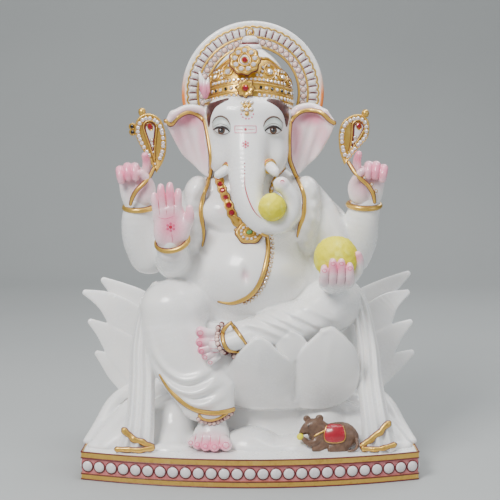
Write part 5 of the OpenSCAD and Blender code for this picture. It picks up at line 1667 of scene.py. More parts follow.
def build_body_gold(sizes):
    """Shawl edges, navel cord, hems, anklets and bangles."""
    SKIN.ready()
    for name, pts, node in (("shoulder_gold_right", [(-56, 357), (-59, 349), (-64, 337), (-66.5, 320),
            (-66, 302), (-64, 284), (-65, 266)], "shoulder_trim_right"),
            ("shoulder_gold_left", [(65, 358), (71, 346), (75, 331), (74, 313), (69, 294), (65, 279)],
             "shoulder_trim_left")):
        p = Pile()
        laid_gold(p, SKIN, pts, 5.4, 0.8, taper=(0.9, 1, 1.1, 1.15, 0.9, 0.3))
        gild(p, name, node)

    thread = [(22, 286), (24, 268), (21, 248), (14, 226), (4, 210), (-9, 200), (-25, 194), (-43, 195)]
    p = Pile()
    laid_gold(p, SKIN, thread, 6.0, 0.8, taper=(0.7, 0.9, 1, 1, 1, 1, 0.75, 0.25))
    gild(p, "navel_cord_gold", "navel_thread")
    p = Pile()
    q = smooth_path(thread, 24)
    seg = lengths(q)
    for d in np.arange(2, seg[-1] * 0.74, 5.3):
        i = int(np.searchsorted(seg, d))
        t = unit(q[min(i + 1, len(q) - 1)] - q[i - 1])
        side = np.array([-t[1], t[0]])
        at = q[i] + side * 6.4
        c, nn = SKIN.front(at[0], at[1], 0.3)
        set_gem(p, c, nn, 4.2, 1)
    place(p.make("navel_cord_crystals", ["gold", "crystal"], smooth=False), "clear_stones",
          "navel_thread_crystals")

    p = Pile()
    laid_gold(p, SKIN, [(-121, 99), (-107, 80), (-89, 64), (-70, 53.5), (-51, 50), (-35, 51), (-22, 53)],
              6.2, 0.8, taper=(0.25, 0.7, 1, 1, 1, 1, 1, 0.9))
    gild(p, "leg_hem_gold", "leg_hem_trim")

    p = Pile()
    ankle_beads(p, [(-69, 42), (-65, 37.5), (-59, 34.6), (-52, 33.4), (-45, 34.4), (-39, 36.6),
                    (-33.6, 39.8), (-29, 43.4), (-25, 47.6)], 1.0, 0.5, 5.8, 2.8, (0, -0.9, 0.1))
    laid_gold(p, SKIN, [(-68, 47), (-63, 42), (-53, 39.6), (-42, 42.4), (-31, 49)], 3.4, 1.0, outline=0.7)
    place(p.make("planted_ankle_beads", ANKLET), "painted_bead", "planted_anklet")

    p = Pile()
    ankle_beads(p, [(-36, 172), (-41, 168), (-43, 161), (-43, 152), (-41, 145), (-37, 138.6), (-32, 133.6),
                    (-26, 129.6), (-19, 126.6)], 1.2, 1, 6.3, 3.0, (-0.2, -0.9, 0))
    laid_gold(p, SKIN, [(-24.6, 175), (-32, 168), (-35.5, 160), (-35.5, 152), (-32.2, 143.7), (-26, 137.5),
                        (-14.5, 134)], 4.6, 1.0, taper=(0.5, 1, 1, 1, 1, 0.6))
    laid_gold(p, SKIN, [(-24.6, 174), (-19.6, 164), (-13, 156), (-5.5, 146)], 4.4, 1.0,
              taper=(0.5, 1, 1, 0.5))
    place(p.make("crossed_ankle_beads", ANKLET), "painted_bead", "crossed_anklet")

    for s, name, runs in (
            (-1, "scarf_hem_right", ([(-167, 30), (-156, 19), (-143, 14), (-131, 7)],
                                     [(-130, 6), (-146, 4), (-162, 5), (-176, 5)])),
            (1, "scarf_hem_left", ([(184, 38), (173, 27), (161, 17), (149, 7)],
                                   [(149, 5), (163, 4.6), (177, 6.5), (191, 10.5)]))):
        p = Pile()
        for i, run in enumerate(runs):
            rows = laid(SKIN, run, 1.4, 8, 3.0)
            proud = [rows[max(0, q - 5):q + 6, 1].min() for q in range(len(rows))]
            rows[:, 1] = np.minimum(rows[:, 1], proud)
            ease(rows, 8)
            wave = [1 + 0.16 * math.sin(q * 1.9) for q in range(12)]
            gold_cord(p, rows - [0, 0.6, 0], 8.2 if i == 0 else 6.8, 0.6, [0.9 * q for q in wave], 0.9)
        gild(p, "hem_gold_" + ("right" if s < 0 else "left"), name)

    bands = Pile()
    for c, axis, rx, ry in (((-151.5, -8, 318), (-2, -6, 30), 22, 21),
            ((157.5, -8, 320), (1, -5, 30), 22, 21), ((-104, -72, 277), (-9, -17, 24), 23.0, 18.5)):
        x, y, nn = basis(axis)
        if abs(x[0]) < 0.5:
            x, y = y, x
        loop = [np.array(c) + x * rx * math.cos(w) + y * ry * math.sin(w)
                for w in np.linspace(0, 2 * math.pi, 61)]
        tube(bands, loop, 3.6, 12, 1.0, 0, ends=False)
        for d in (-3.1, 3.1):
            tube(bands, [q + nn * d - unit(q - np.array(c)) * 0.9 for q in loop], 1.0, 8, 1.0, 1,
                 ends=False)
    gild(bands, "wrist_bangles", "bangles")


def build_necklace(sizes):
    """The jewelled necklace, its medallion and the loops beside it."""
    SKIN.ready()
    gold, gems = Pile(), Pile()
    spots = [(-42, 357), (-39.5, 349), (-36.5, 340.5), (-32.5, 331.5), (-28.5, 322.5), (-25, 313.5)]
    path = smooth_path([(-44, 362)] + spots + [(-20, 304), (-12, 296)], 6)
    rows = laid(SKIN, [tuple(q) for q in path], 0.6, 1)
    gold_cord(gold, rows, 10.0, 0.5, (0.9, 1, 1, 1, 0.9, 0.7), 0.9)
    side = frames(rows)[1]
    for sgn in (-1, 1):
        gold_cord(gold, [q + s * sgn * (4.6 + 0.9 * math.sin(i * 0.9)) + [0, -1.2, 0] for i, (q, s) in
                         enumerate(zip(rows, side))], 2.2, 0.9, outline=0.5)
    for x, z in spots:
        p, nn = SKIN.front(x, z, 2.6)
        set_gem(gems, p, unit(nn + np.array([0, -0.8, 0])), 8.0, 2)
    mid = (-0.8, 288.0)
    base, nn = SKIN.front(*mid, 3.0)
    nn = unit((0, -1, 0.42))
    base = np.array([mid[0], base[1] - 5.0, mid[1]])
    x, y, _ = basis(nn)
    revolve(gold, [(17.2, -5), (18.4, -0.6), (17.4, 1.6), (15.6, 2.4), (14.0, 1.2), (8.6, 1.2)], base, nn,
            6 * 12, 0.82, 0, 0, (6, 0.045))
    revolve(gold, [(18.4, -3), (19.2, -1.2), (18.2, 0)], base, nn, 72, 0.82, 1, 0, (6, 0.045))
    revolve(gold, [(7.6, 0.8), (7.4, 2.6), (6.4, 3.0), (5.6, 2.2)], base, nn, 32, 0.72, 0)
    for i in range(12):
        a = math.radians(i * 30 + 15)
        set_gem(gems, base + x * 11.2 * math.cos(a) + y * 11.2 * 0.82 * math.sin(a) + nn * 1.4, nn, 4.4, 1)
    set_gem(gems, base + nn * 2.2, nn, 9.0, 3, squash=0.72)
    laid_gold(gold, SKIN, [(-23, 307), (-19, 298), (-15, 293), (-20, 290)], 3.0, 1.4)
    laid_gold(gold, SKIN, [(-12, 306), (-13, 299), (-9, 295)], 3.0, 1.4)
    laid_gold(gold, SKIN, [(16, 291), (20, 289), (25, 288)], 3.6, 1.4)
    far = laid(SKIN, [(47, 371), (38, 363), (32, 352), (28, 340)], 1.0, 6)
    gold_cord(gold, far, 4.4, 0.7, outline=0.7)
    for i in (3, 7, 11, 15):
        set_gem(gems, far[i] + [0, -2.2, 0], (0.1, -1, 0.1), 4.6, 2 if i == 3 else 1)
    gild(gold, "necklace_gold", "necklace")
    place(gems.make("necklace_jewels", ["gold", "crystal", "ruby", "green"], smooth=False),
          "set_stones", "necklace_stones")


# Outlines of the two held emblems, from the handle round; -1 is the figure's right.
EMBLEMS = {-1: [(-128, 365), (-119, 380), (-114.5, 396), (-115, 418), (-121, 436), (-133, 445),
                (-146, 444.5), (-154.5, 436), (-157, 423), (-152.5, 408), (-142, 389)],
           1: [(129, 376), (123, 393), (121, 417), (126, 434), (138, 443), (151, 444.5), (160, 438),
               (162.5, 428), (160.5, 414), (151, 403), (140, 390)]}


def build_emblems(sizes):
    """The two jewelled emblems and the gold handles in the raised hands."""
    gems = Pile()
    for s, name in ((-1, "emblem_right"), (1, "emblem_left")):
        rim = smooth_path(EMBLEMS[s] + [EMBLEMS[s][0]], 8)[:-1]
        mid = rim.mean(0)
        gold = Pile()
        n = len(rim)
        v, f = [], []
        layers = ((0.0, -14.0), (0.95, -14.0), (1.0, -15.5), (1.0, -20.6), (0.97, -22.4), (0.93, -22.6),
                  (0.9, -21.0), (0.55, -20.8), (0.0, -20.8))
        for k, y in layers:
            for x, z in rim:
                v.append((mid[0] + (x - mid[0]) * max(k, 0.02), y, mid[1] + (z - mid[1]) * max(k, 0.02)))
        for i in range(len(layers) - 1):
            for j in range(n):
                m = (j + 1) % n
                q = (i * n + j, i * n + m, (i + 1) * n + m, (i + 1) * n + j)
                f.append(q if s < 0 else q[::-1])
        gold.add(v, f, 0)
        tip = np.array(EMBLEMS[s][0])
        head = np.array((-136, 427)) if s < 0 else np.array((148, 428))
        loop = []
        for w in np.linspace(0, 2 * math.pi, 40):
            c = head + np.array([math.cos(w), math.sin(w)]) * 9.0
            pull = max(0, -math.sin(w)) ** 2
            loop.append(c + (tip + (head - tip) * 0.22 - c) * pull * 0.96)
        gold_cord(gold, [(x, -22.2, z) for x, z in loop], 2.2, 0.9, outline=0.6)
        inner = [(x + (head[0] - x) * 0.26, z + (head[1] - 6 - z) * 0.2) for x, z in loop][:-1]
        mid_in = np.mean(inner, 0)
        gold.add([(x, -21.3, z) for x, z in inner] + [(mid_in[0], -21.9, mid_in[1])],
                 [(i, (i + 1) % 39, 39)[::s] for i in range(39)], 2)
        tube(gold, [(x, -21.8, z) for x, z in inner + inner[:1]], 0.9, 8, 0.8, 1)
        nub = (-147, 448) if s < 0 else (157, 446)
        revolve(gold, [(3.6, -5), (4.6, -3), (5.2, 0), (4.4, 3.4), (2.0, 5.2)], (nub[0], -18, nub[1]),
                (0, 0, 1), 20, material=0)
        if s < 0:
            line = [(-131, -24, 372, 2.0), (-137, -32, 360, 2.2), (-145, -37, 351, 2.4),
                    (-154, -38, 342, 2.4), (-160, -36, 332, 2.2), (-163, -33, 322, 1.4)]
        else:
            line = [(134, -24, 380, 2.0), (142, -33, 367, 2.2), (150, -37, 358, 2.4), (160, -38, 349, 2.4),
                    (167, -36, 338, 2.4), (170, -33, 325, 1.6)]
        q = smooth_path(line, 6)
        gold_cord(gold, q[:, :3], 4.8, 0.9, list(q[:, 3] / 2.4), 0.8)
        place(gold.make("emblem_gold_" + ("right" if s < 0 else "left"), ["gold", "maroon", "pearl"]),
              "gold_leaf", name)
        seg = lengths(rim)
        for d in np.arange(6, seg[-1] - 5, 7.2):
            i = int(np.searchsorted(seg, d))
            x, z = mid + (rim[i % n] - mid) * 0.8
            if math.hypot(x - head[0], z - head[1]) > 8 and z > 384:
                set_gem(gems, (x, -21.6, z), (0, -1, 0), 6.0, 1)
        set_gem(gems, (head[0], -21.8, head[1] + 1), (0, -1, 0), 6.2, 2, squash=1.5)
        for i in range(5):
            t = 0.28 + i * 0.13
            x, z = head + (tip - head) * t
            set_gem(gems, (x, -21.6, z), (0, -1, 0), 4.2 - i * 0.25, 1)
        if s < 0:
            for x, z in ((-160.5, 428), (-160, 420.5)):
                revolve(gems, [(4.6, -4), (5.0, 0), (4.2, 1.2)], (x, -18, z), (0, -1, 0), 20, material=0)
                set_gem(gems, (x, -19.4, z), (0, -1, 0), 5.6, 3)
        for d in ((0.42, 0.6, 0.78) if s > 0 else ()):
            a = q[int(d * (len(q) - 1))]
            set_gem(gems, (a[0] + 5.2, a[1] + 0.5, a[2] + 1.5), (0.2, -1, 0), 3.8, 1)
    place(gems.make("emblem_jewels", ["gold", "crystal", "ruby", "jet"], smooth=False),
          "set_stones", "emblem_stones")


def lumpy(pile, centre, radius, lumps, seed, sides=72):
    """A hand-rolled sweet: a ball with soft crumbs and a few pressed hollows."""
    from mathutils import noise
    rows = sides // 2
    v, f = [], []
    for i in range(rows + 1):
        a = math.pi * i / rows
        for j in range(sides):
            w = 2 * math.pi * j / sides
            d = np.array([math.sin(a) * math.cos(w), math.sin(a) * math.sin(w), math.cos(a)])
            q = Vector(d * lumps + seed)
            r = 1 + 0.035 * noise.noise(q) + 0.05 * abs(noise.noise(q * 2.3)) + 0.022 * noise.noise(q * 5.1)
            v.append(np.array(centre) + d * radius * r)
    for i in range(rows):
        for j in range(sides):
            m = (j + 1) % sides
            a, b, c, e = i * sides + j, (i + 1) * sides + j, (i + 1) * sides + m, i * sides + m
            if i == 0:
                f.append((a, b, c))
            elif i == rows - 1:
                f.append((a, b, e))
            else:
                f.append((a, b, c, e))
    used = sorted({k for q in f for k in q})
    back = {k: i for i, k in enumerate(used)}
    pile.add([v[k] for k in used], [tuple(back[k] for k in q) for q in f])


def build_sweets(sizes):
    """The sweet in the trunk's curl and the one in the hand."""
    p = Pile()
    lumpy(p, (29, -106, 326), 18.0, 3.4, 2.0)
    lumpy(p, (114, -93, 257), 29.0, 3.6, 7.0, 96)
    place(p.make("sweet_balls", ["sweet"]), "yellow_paint", "sweets")


def build_mouse(sizes):
    """The mouse with its saddle cloth, tail and crumb of sweet."""
    small = Stone((60, -124, -2), (150, -84, 50), sizes.carving_grain / MM * 0.5)
    p = Part(small, "mouse", (60, -124, -2), (150, -84, 50))
    p.sweep([(136, -101, 14, 9, 12), (126, -101, 19, 14, 17), (112, -102, 19, 15, 17),
             (98, -102, 18, 12, 13), (88, -103, 22, 10, 11)], up=(0, 0, 1), k=3)
    p.sweep([(94, -103, 30, 9.5, 10), (84, -104, 33, 9.5, 9.5), (75, -106, 29, 6.5, 7),
             (69, -107, 24, 3.6, 3.8)], up=(0, 0, 1), k=5)
    p.ball((93, -100, 42), (5.4, 3, 5), 2)
    p.ball((76, -99, 41), (5, 3, 4.6), 2)
    p.sweep([(92, -110, 18, 6, 5), (85, -113, 12, 4.6, 4), (77, -114, 12, 4, 3.4), (71, -113, 17, 3.2, 3)],
            k=3)
    p.ball((126, -108, 12), (12, 7, 11), 3)
    p.sweep([(126, -110, 5, 8, 5), (116, -113, 3.5, 7, 3.8), (106, -114, 3, 5, 3)], k=3)
    p.sweep([(98, -109, 8, 7, 5), (92, -112, 4, 5, 3.6), (85, -113, 3, 4, 3)], k=3)
    p.done(0)
    ob, verts, quads, _ = carved_mesh(small, "mouse", "fur", WHOLE)
    place(ob, "brown_paint", "mouse")
    own = Skin()
    own.take(verts, quads)
    extra = Pile()
    patch(extra, own, [(102, 33), (108, 34.5), (116, 34.5), (123, 33), (125.5, 24), (124, 16), (112, 14),
            (101.5, 16), (99.6, 25)], 2.2, 1.6, 2, depth=4.0)
    rim = [(102, 33), (99.6, 25), (101.5, 15.6), (112, 13.4), (124, 15.6), (125.8, 24), (123.4, 33)]
    gold_cord(extra, laid(own, rim, 0.8, 6), 2.6, 0.8, outline=0.5)
    gold_cord(extra, laid(own, [(99, 28), (93, 25), (86, 21)], 0.7, 6), 2.2, 0.8, outline=0.4)
    tube(extra, smooth_path([(138, -103, 18), (142, -107, 15), (143, -112, 8), (139, -117, 3.0),
            (130, -120, 2.2)], 7), (2.6, 2.3, 2.0, 1.2), 10, material=3)
    eye, out = own.front(78, 34.5, 0.2)
    bead(extra, eye, out, 1.1, 4, 10)
    revolve(extra, [(3.4, -3), (4.6, -1), (4.8, 1.2), (3.2, 3.6), (1.2, 4.6)], (67.0, -112, 19.5),
            (-0.4, -0.3, 1), 18, material=5)
    ob = extra.make("mouse_saddle_and_tail", ["gold", "maroon", "saddle", "fur", "jet", "sweet"])
    place(ob, "brown_paint")


def build_paint(sizes):
    """Brush work: eyes, brows, forehead marks, hair, palm lines, toes."""
    SKIN.ready()
    p = Pile()
    names = ["eyewhite", "iris", "jet", "lash", "brow", "shadow", "pink", "red", "hair", "pearl", "maroon"]
    number = {n: i for i, n in enumerate(names)}

    def line(points, width, lift, paint, flat=0.5, *more):
        stroke(p, SKIN, points, width, lift, number[paint], flat, *more)

    def area(outline, lift, grain, paint):
        patch(p, SKIN, outline, lift, grain, number[paint], 3)

    def disc(x, z, r, lift, mat, squash=1.0):
        patch(p, SKIN, [(x + r * math.cos(a), z + r * squash * math.sin(a))
                        for a in np.linspace(0, 2 * math.pi, 20)[:-1]], lift, max(0.8, r / 3), number[mat],
              1, 0.6)
    for lid, low, brow, iris in (
            ([(-48.6, 425), (-43.4, 428.0), (-37.4, 429.2), (-30.8, 426.8), (-27, 422.8)],
             [(-43, 421.2), (-37, 419.2), (-30.8, 420.2)],
             [(-50.2, 434), (-45.6, 440.6), (-38, 443.2), (-30.6, 439.6), (-26, 431.5)], (-38, 424.2)),
            ([(19.6, 423.8), (24.4, 427.8), (30.4, 429.8), (36.6, 428.2), (41.6, 423.8)],
             [(24.2, 420.6), (31.4, 419.6), (37.6, 421)],
             [(17.6, 429.5), (20.6, 437), (28, 442.2), (36.4, 441), (43.6, 433.4)], (31.0, 424.6))):
        area(lid + low[::-1], 0.25, 1.2, "eyewhite")
        disc(*iris, 4.8, 0.45, "iris")
        disc(iris[0], iris[1] + 0.2, 2.9, 0.6, "jet")
        # A small white dot up and to the left on each iris: a painted highlight.
        disc(iris[0] - 1.4, iris[1] + 1.2, 0.8, 0.75, "pearl")
        area(brow + [(lid[-1][0] + 0.4, lid[-1][1] + 1), *[(x, z + 0.2) for x, z in lid[::-1][1:-1]],
                               (lid[0][0] - 0.4, lid[0][1] + 1)], 0.85, 1.4, "shadow")
        line(lid, 3.2, 0.95, "lash", 0.6, 6, (0.4, 1, 1.1, 1, 0.4))
        line([lid[0]] + low + [lid[-1]], 0.9, 0.5, "brow", 0.6)
        line(brow, 2.2, 0.9, "brow", 0.6, 6, (0.3, 1, 1.1, 1, 0.3))
        line([(x, z + 3.4) for x, z in lid], 0.7, 1.0, "brow", 0.6)
    # Hair showing under both sides of the crown.
    area([(-59, 450), (-57, 458), (-47, 462), (-38, 465), (-29, 467), (-29, 464.5), (-38, 460),
          (-45.5, 455), (-50, 448), (-52.8, 440), (-54, 431), (-56, 428), (-58, 438)], 0.3, 1.6, "hair")
    area([(24, 466.5), (36, 465), (46.5, 461), (52, 455), (52.4, 440), (49.6, 428), (47.6, 432), (46, 440),
                    (42.6, 448), (36.4, 455), (28, 460.5), (22, 463.5)], 0.3, 1.6, "hair")
    # Forehead box with its dot, and a small petal mark below.
    box = [(-20, 430.5), (-6, 430.7), (8, 430.5), (8.2, 426), (8, 421.5), (-6, 421.3), (-20, 421.5),
           (-20.2, 426), (-20, 430.5)]
    for a, b in zip(box[:-1], box[1:]):
        line([a, ((a[0] + b[0]) / 2, (a[1] + b[1]) / 2), b], 0.9, 0.25, "pink", 0.5, 6, (1, 1, 1))
    line([(-19, 426), (-12, 426), (-9, 426)], 0.7, 0.25, "pink")
    line([(-3, 426), (0, 426), (7, 426)], 0.7, 0.25, "pink")
    disc(-6, 426, 1.7, 0.5, "red")

    def petal_mark(x, z, r):
        disc(x, z, r * 0.34, 0.5, "red")
        for i in range(6):
            a = math.radians(60 * i + 30)
            disc(x + r * 0.72 * math.cos(a), z + r * 0.72 * math.sin(a), r * 0.26, 0.45, "pink")
    petal_mark(-6, 406.5, 5.0)
    for x, z in ((-12, 446), (-10, 442), (-6, 440), (-2, 440), (2, 442), (4, 446)):
        disc(x + 0.5, z, 1.1, 0.3, "pink")
    # Trunk line, its dots, and the mark at the trunk's tip.
    line([(-7, 366), (-6.4, 352), (-2, 336), (6, 320), (15, 311)], 1.5, 0.3, "red")
    for z in (382, 377.5, 373, 369):
        disc(-7, z, 0.8, 0.35, "red")
    line([(39, 359), (42, 361.5), (45, 359)], 1.0, 0.3, "red")
    # Palm: a petal mark and lines along the fingers.
    petal_mark(-105, 298, 6.5)
    for x0, x1, z0, z1 in ((-119.5, -121.5, 314, 334), (-110, -111.5, 314, 340),
            (-100.5, -100.2, 314, 338)):
        line([(x0, z0), ((x0 + x1) / 2, (z0 + z1) / 2), (x1, z1)], 0.8, 0.2, "red")
    line([(-122, 311), (-112, 309), (-99, 313)], 0.7, 0.2, "pink")
    line([(-104, 290), (-103, 283), (-103, 277)], 0.7, 0.2, "pink")
    # Toe and finger nails: small rings.

    def nail(x, z, r):
        pts = [(x + r * math.cos(a), z + r * 0.86 * math.sin(a)) for a in np.linspace(0, 2 * math.pi, 9)]
        line(pts, 0.8, 0.3, "pink", 0.6, 4, (1, 1))
    for x, z, r in ((-65.5, 160, 3.8), (-66.5, 146.5, 3.2), (-64, 135.5, 2.9), (-59.5, 127, 2.7),
                    (-52.5, 119.5, 2.3)):
        nail(x, z, r)
    for x, z, r in ((-32, 11, 4.2), (-47, 9.5, 3.2), (-59, 10, 3.0), (-70, 10.5, 2.8), (-79, 11, 2.5)):
        nail(x, z, r)
    for x, z in ((97, 245), (108, 254), (119, 254), (130, 248)):
        nail(x, z, 2.6)
    for x, z in ((-46, 150.5), (-46, 141), (-44, 133.5)):
        line([(x - 8, z - 1), (x, z), (x + 5, z + 1)], 0.7, 0.2, "pink")
    for a, b in ((-40, -41), (-52.5, -53), (-63, -64.5), (-72, -74.5)):
        line([(a, 20), ((a + b) / 2, 15), (b, 9)], 0.8, 0.2, "pink")
    for x in (103, 113.5, 124.5):
        line([(x * 0.96 + 4, 226), (x, 238), (x, 248)], 0.8, 0.2, "maroon")
    place(p.make("painted_lines", names), "pink_paint")


def build_plinth(sizes):
    """The plinth's own parts get their finishes; its bead row is turned bead by bead."""
    for node, mat in (("plinth", "marble"), ("plinth_top_band", "gold"), ("plinth_bottom_band", "gold"),
                      ("plinth_frieze", "rose")):
        ob = frame["nodes"][node]
        if not ob.material_slots:
            ob.data.materials.append(None)
        for slot in ob.material_slots:
            slot.link = "OBJECT"
            slot.material = FINISHES[mat]
    b_lo, b_hi = node_span("plinth_beads")
    r = (b_hi[2] - b_lo[2]) / 2 - 0.8
    frieze = plinth_outline("plinth_frieze")
    p = Pile()
    for run in frieze:
        seg = lengths(run)
        n = int((seg[-1] - 2) / (2 * r + 2.2))
        for i in range(n):
            d = seg[-1] * (i + 0.5) / n
            c = [np.interp(d, seg, run[:, k]) for k in (0, 1)] + [(b_lo[2] + b_hi[2]) / 2]
            k = min(int(np.searchsorted(seg, d)), len(run) - 1)
            along = run[k] - run[k - 1]
            out = unit((along[1], -along[0], 0))
            revolve(p, [(r + 1.3, -1.2), (r + 1.3, 0.7), (r - 0.1, 1.1)], c, out, 28, material=1)
            prof = [(r * math.cos(a), 3.2 * math.sin(a)) for a in np.linspace(0.0, 1.35, 7)]
            revolve(p, prof, np.array(c) + out * 0.4, out, 28, material=0)
    place(p.make("plinth_bead_row", ["pearl", "maroon"]), "painted_bead", "plinth_beads")
    lines = Pile()
    for node in ("plinth_top_band", "plinth_bottom_band"):
        a, b = node_span(node)
        whole = np.concatenate(plinth_outline(node))
        for h in (a[2] + 0.9, b[2] - (0.9 if node == "plinth_bottom_band" else 0.2)):
            tube(lines, [(x, y, h) for x, y in whole], 0.9, 8, 1.0, 0)
    place(lines.make("plinth_outline_paint", ["maroon"]), "pink_paint")


def plinth_outline(node):
    """Plan of a plinth band in four runs, front first and round by +X, read from its CAD solid."""
    ob = frame["nodes"][node]
    v = np.array([ob.matrix_world @ q.co for q in ob.data.vertices])[:, :2] / MM
    hull = []
    pts = sorted({(round(x, 2), round(y, 2)) for x, y in v})
    for seq in (pts, pts[::-1]):
        part = []
        for q in seq:
            while len(part) > 1 and ((part[-1][0] - part[-2][0]) * (q[1] - part[-2][1])
                                     - (part[-1][1] - part[-2][1]) * (q[0] - part[-2][0])) <= 1e-6:
                part.pop()
            part.append(q)
        hull += part[:-1]
    hull = np.array(hull)
    front = hull[hull[:, 1] < 0]
    back = hull[hull[:, 1] > 0]
    front = front[np.argsort(front[:, 0])]
    right = back[np.argmax(back[:, 0])]
    left = back[np.argmin(back[:, 0])]

    def run(points, steps):
        points = np.array(points)
        return np.concatenate([points[:1]] + [np.linspace(a, b, steps + 1)[1:] for a,
                b in zip(points[:-1], points[1:])])
    return [run(front, 2), run([front[-1], right], 12), run([right, left], 12), run([left, front[0]], 12)]


def build_stage(sizes):
    """A pale paper floor, four soft lights and the camera."""
    floor = bpy.data.meshes.new("floor")
    w = 6.0
    depth, high, bend = 1.6, 4.0, 0.7
    rows = [(-4.0, 0.0)] + [(depth + bend * math.sin(a), bend - bend * math.cos(a)) for a in
                            np.linspace(0, math.pi / 2, 20)] + [(depth + bend, high)]
    verts = [(s * w, y, z) for y, z in rows for s in (-1, 1)]
    faces = [(2 * i, 2 * i + 1, 2 * i + 3, 2 * i + 2) for i in range(len(rows) - 1)]
    floor.from_pydata(verts, [], faces)
    floor.shade_smooth()
    f = Finish("studio paper")
    soft = f.noise(3.0, 2.0)
    floor.materials.append(f.wear(Base_Color=f.mix(soft, srgb(168, 172, 172), srgb(162, 166, 167)),
            Roughness=0.85))
    ob = bpy.data.objects.new("floor", floor)
    bpy.context.scene.collection.objects.link(ob)
    for name, at, size, power, tint in (("key", (-1.0, -1.5, 1.9), 0.8, 66, (1.0, 0.98, 0.96)),
            ("fill", (1.7, -1.3, 0.9), 1.2, 10, (0.96, 0.98, 1.0)), ("top", (0.2, 0.0, 2.2), 1.1, 32,
            (1, 1, 1)), ("rim", (0.8, 1.3, 1.5), 0.9, 10, (1, 1, 1))):
        lamp = bpy.data.lights.new(name, "AREA")
        lamp.shape, lamp.size, lamp.energy, lamp.color = "SQUARE", size, power, tint
        o = bpy.data.objects.new(name, lamp)
        o.location = at
        o.rotation_euler = (Vector((0, 0, 0.3)) - Vector(at)).to_track_quat("-Z", "Y").to_euler()
        bpy.context.scene.collection.objects.link(o)
    world = bpy.data.worlds.new("soft room")
    bpy.context.scene.world = world
    world.use_nodes = True
    world.node_tree.nodes["Background"].inputs[0].default_value = (0.82, 0.84, 0.86, 1)
    world.node_tree.nodes["Background"].inputs[1].default_value = 0.34
    cam = bpy.data.cameras.new("camera")
    cam.lens, cam.sensor_width = sizes.lens, 36.0
    o = bpy.data.objects.new("camera", cam)
    o.location = (0, -1.859, 0.529)
    o.rotation_euler = (math.radians(90 - 7.2), 0, 0)
    bpy.context.scene.collection.objects.link(o)
    bpy.context.scene.camera = o


# ---------------------------------------------------------------- add-on


class GaneshaSizes(bpy.types.PropertyGroup):
    """Sizes and colours that a user would change"""
    carving_grain: bpy.props.FloatProperty(
        name="Carving grain", description="Size of the smallest facet the chisel leaves",
        default=0.0015, unit="LENGTH")
    halo_flutes: bpy.props.IntProperty(
        name="Halo flutes", description="White flutes in a whole turn of the halo",
        default=56, min=24, max=96)
    halo_pearls: bpy.props.IntProperty(
        name="Halo beads", description="Beads in a whole turn of the halo", default=48, min=24, max=90)
    lens: bpy.props.FloatProperty(
        name="Lens", description="Focal length of the view", default=96.9, min=35, max=200)
    marble_colour: bpy.props.FloatVectorProperty(
        name="Marble", description="Colour of the polished stone",
        default=srgb(247, 246, 244), size=3, subtype="COLOR", min=0, max=1)
    gold_colour: bpy.props.FloatVectorProperty(
        name="Gold", description="Colour of the gold leaf",
        default=srgb(220, 178, 84), size=3, subtype="COLOR", min=0, max=1)
    blush_colour: bpy.props.FloatVectorProperty(
        name="Blush", description="Colour brushed on fingers, palms and toes",
        default=srgb(244, 138, 170), size=3, subtype="COLOR", min=0, max=1)


def work_on(build, context):
    """Makes the finishes if they aren't mixed yet, then builds; an error stops the script."""
    sizes = context.scene.ganesha_sizes
    if not FINISHES:
        mix_finishes(sizes)
    build(sizes)
    return {"FINISHED"}


class GANESHA_OT_figure(bpy.types.Operator):
    """Carve the body, head, limbs, seat and scarves from one block"""
    bl_idname = "ganesha.figure"
    bl_label = "Carve figure"

    def execute(self, context):
        return work_on(build_figure, context)


class GANESHA_OT_halo(bpy.types.Operator):
    """Turn the halo ring with its flutes, beads and gold lines"""
    bl_idname = "ganesha.halo"
    bl_label = "Halo"

    def execute(self, context):
        return work_on(build_halo, context)


class GANESHA_OT_crown(bpy.types.Operator):
    """Lay the crown's gold relief, medallion and stones"""
    bl_idname = "ganesha.crown"
    bl_label = "Crown goldwork"

    def execute(self, context):
        return work_on(build_crown_gold, context)


class GANESHA_OT_bud(bpy.types.Operator):
    """Add the bud tucked beside the crown"""
    bl_idname = "ganesha.bud"
    bl_label = "Flower bud"

    def execute(self, context):
        return work_on(build_bud, context)


class GANESHA_OT_head_ornaments(bpy.types.Operator):
    """Add tusks, cuffs, ear gold and the forehead drop"""
    bl_idname = "ganesha.head_ornaments"
    bl_label = "Head ornaments"

    def execute(self, context):
        return work_on(build_head_ornaments, context)


class GANESHA_OT_body_gold(bpy.types.Operator):
    """Add the shawl edges, navel cord, hems, anklets and bangles"""
    bl_idname = "ganesha.body_gold"
    bl_label = "Gold on the body"

    def execute(self, context):
        return work_on(build_body_gold, context)


class GANESHA_OT_necklace(bpy.types.Operator):
    """Add the jewelled necklace and pendant"""
    bl_idname = "ganesha.necklace"
    bl_label = "Necklace"

    def execute(self, context):
        return work_on(build_necklace, context)


class GANESHA_OT_emblems(bpy.types.Operator):
    """Add the two jewelled emblems in the raised hands"""
    bl_idname = "ganesha.emblems"
    bl_label = "Emblems"

    def execute(self, context):
        return work_on(build_emblems, context)


class GANESHA_OT_sweets(bpy.types.Operator):
    """Roll the two yellow sweets"""
    bl_idname = "ganesha.sweets"
    bl_label = "Sweets"

    def execute(self, context):
        return work_on(build_sweets, context)


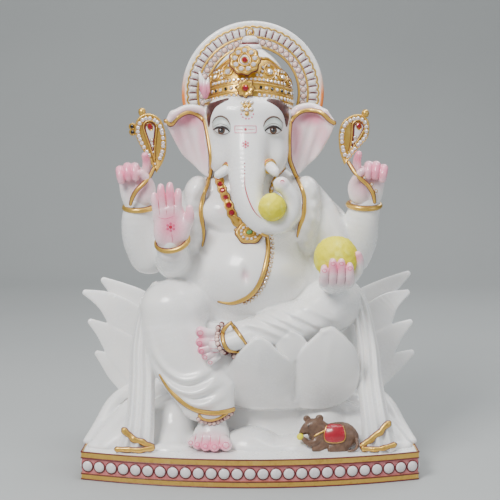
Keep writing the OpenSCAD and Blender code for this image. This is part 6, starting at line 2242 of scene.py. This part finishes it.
class GANESHA_OT_mouse(bpy.types.Operator):
    """Carve the mouse with its saddle"""
    bl_idname = "ganesha.mouse"
    bl_label = "Mouse"

    def execute(self, context):
        return work_on(build_mouse, context)


class GANESHA_OT_paint(bpy.types.Operator):
    """Paint eyes, brows, marks, hair, palm lines and nails"""
    bl_idname = "ganesha.paint"
    bl_label = "Brush work"

    def execute(self, context):
        return work_on(build_paint, context)


class GANESHA_OT_plinth(bpy.types.Operator):
    """Dress the beaded plinth"""
    bl_idname = "ganesha.plinth"
    bl_label = "Plinth"

    def execute(self, context):
        return work_on(build_plinth, context)


class GANESHA_OT_stage(bpy.types.Operator):
    """Set the floor, soft lights and camera"""
    bl_idname = "ganesha.stage"
    bl_label = "Stage"

    def execute(self, context):
        return work_on(build_stage, context)


STEPS = [GANESHA_OT_figure, GANESHA_OT_halo, GANESHA_OT_crown, GANESHA_OT_bud, GANESHA_OT_head_ornaments,
         GANESHA_OT_body_gold, GANESHA_OT_necklace, GANESHA_OT_emblems, GANESHA_OT_sweets, GANESHA_OT_mouse,
         GANESHA_OT_paint, GANESHA_OT_plinth, GANESHA_OT_stage]


class GANESHA_PT_workshop(bpy.types.Panel):
    """Sizes, colours and one button a step"""
    bl_idname = "GANESHA_PT_workshop"
    bl_label = "Ganesha"
    bl_space_type = "VIEW_3D"
    bl_region_type = "UI"
    bl_category = "Ganesha"

    def draw(self, context):
        col = self.layout.column()
        for name in ("carving_grain", "halo_flutes", "halo_pearls", "lens", "marble_colour", "gold_colour",
                     "blush_colour"):
            col.prop(context.scene.ganesha_sizes, name)
        for step in STEPS:
            col.operator(step.bl_idname)


CLASSES = [GaneshaSizes, *STEPS, GANESHA_PT_workshop]


def register():
    for c in CLASSES:
        bpy.utils.register_class(c)
    bpy.types.Scene.ganesha_sizes = bpy.props.PointerProperty(type=GaneshaSizes)


def unregister():
    del bpy.types.Scene.ganesha_sizes
    for c in reversed(CLASSES):
        bpy.utils.unregister_class(c)


def main():
    register()
    for step in STEPS:
        getattr(bpy.ops.ganesha, step.bl_idname.split(".")[1])()


if __name__ == "__main__":
    main()
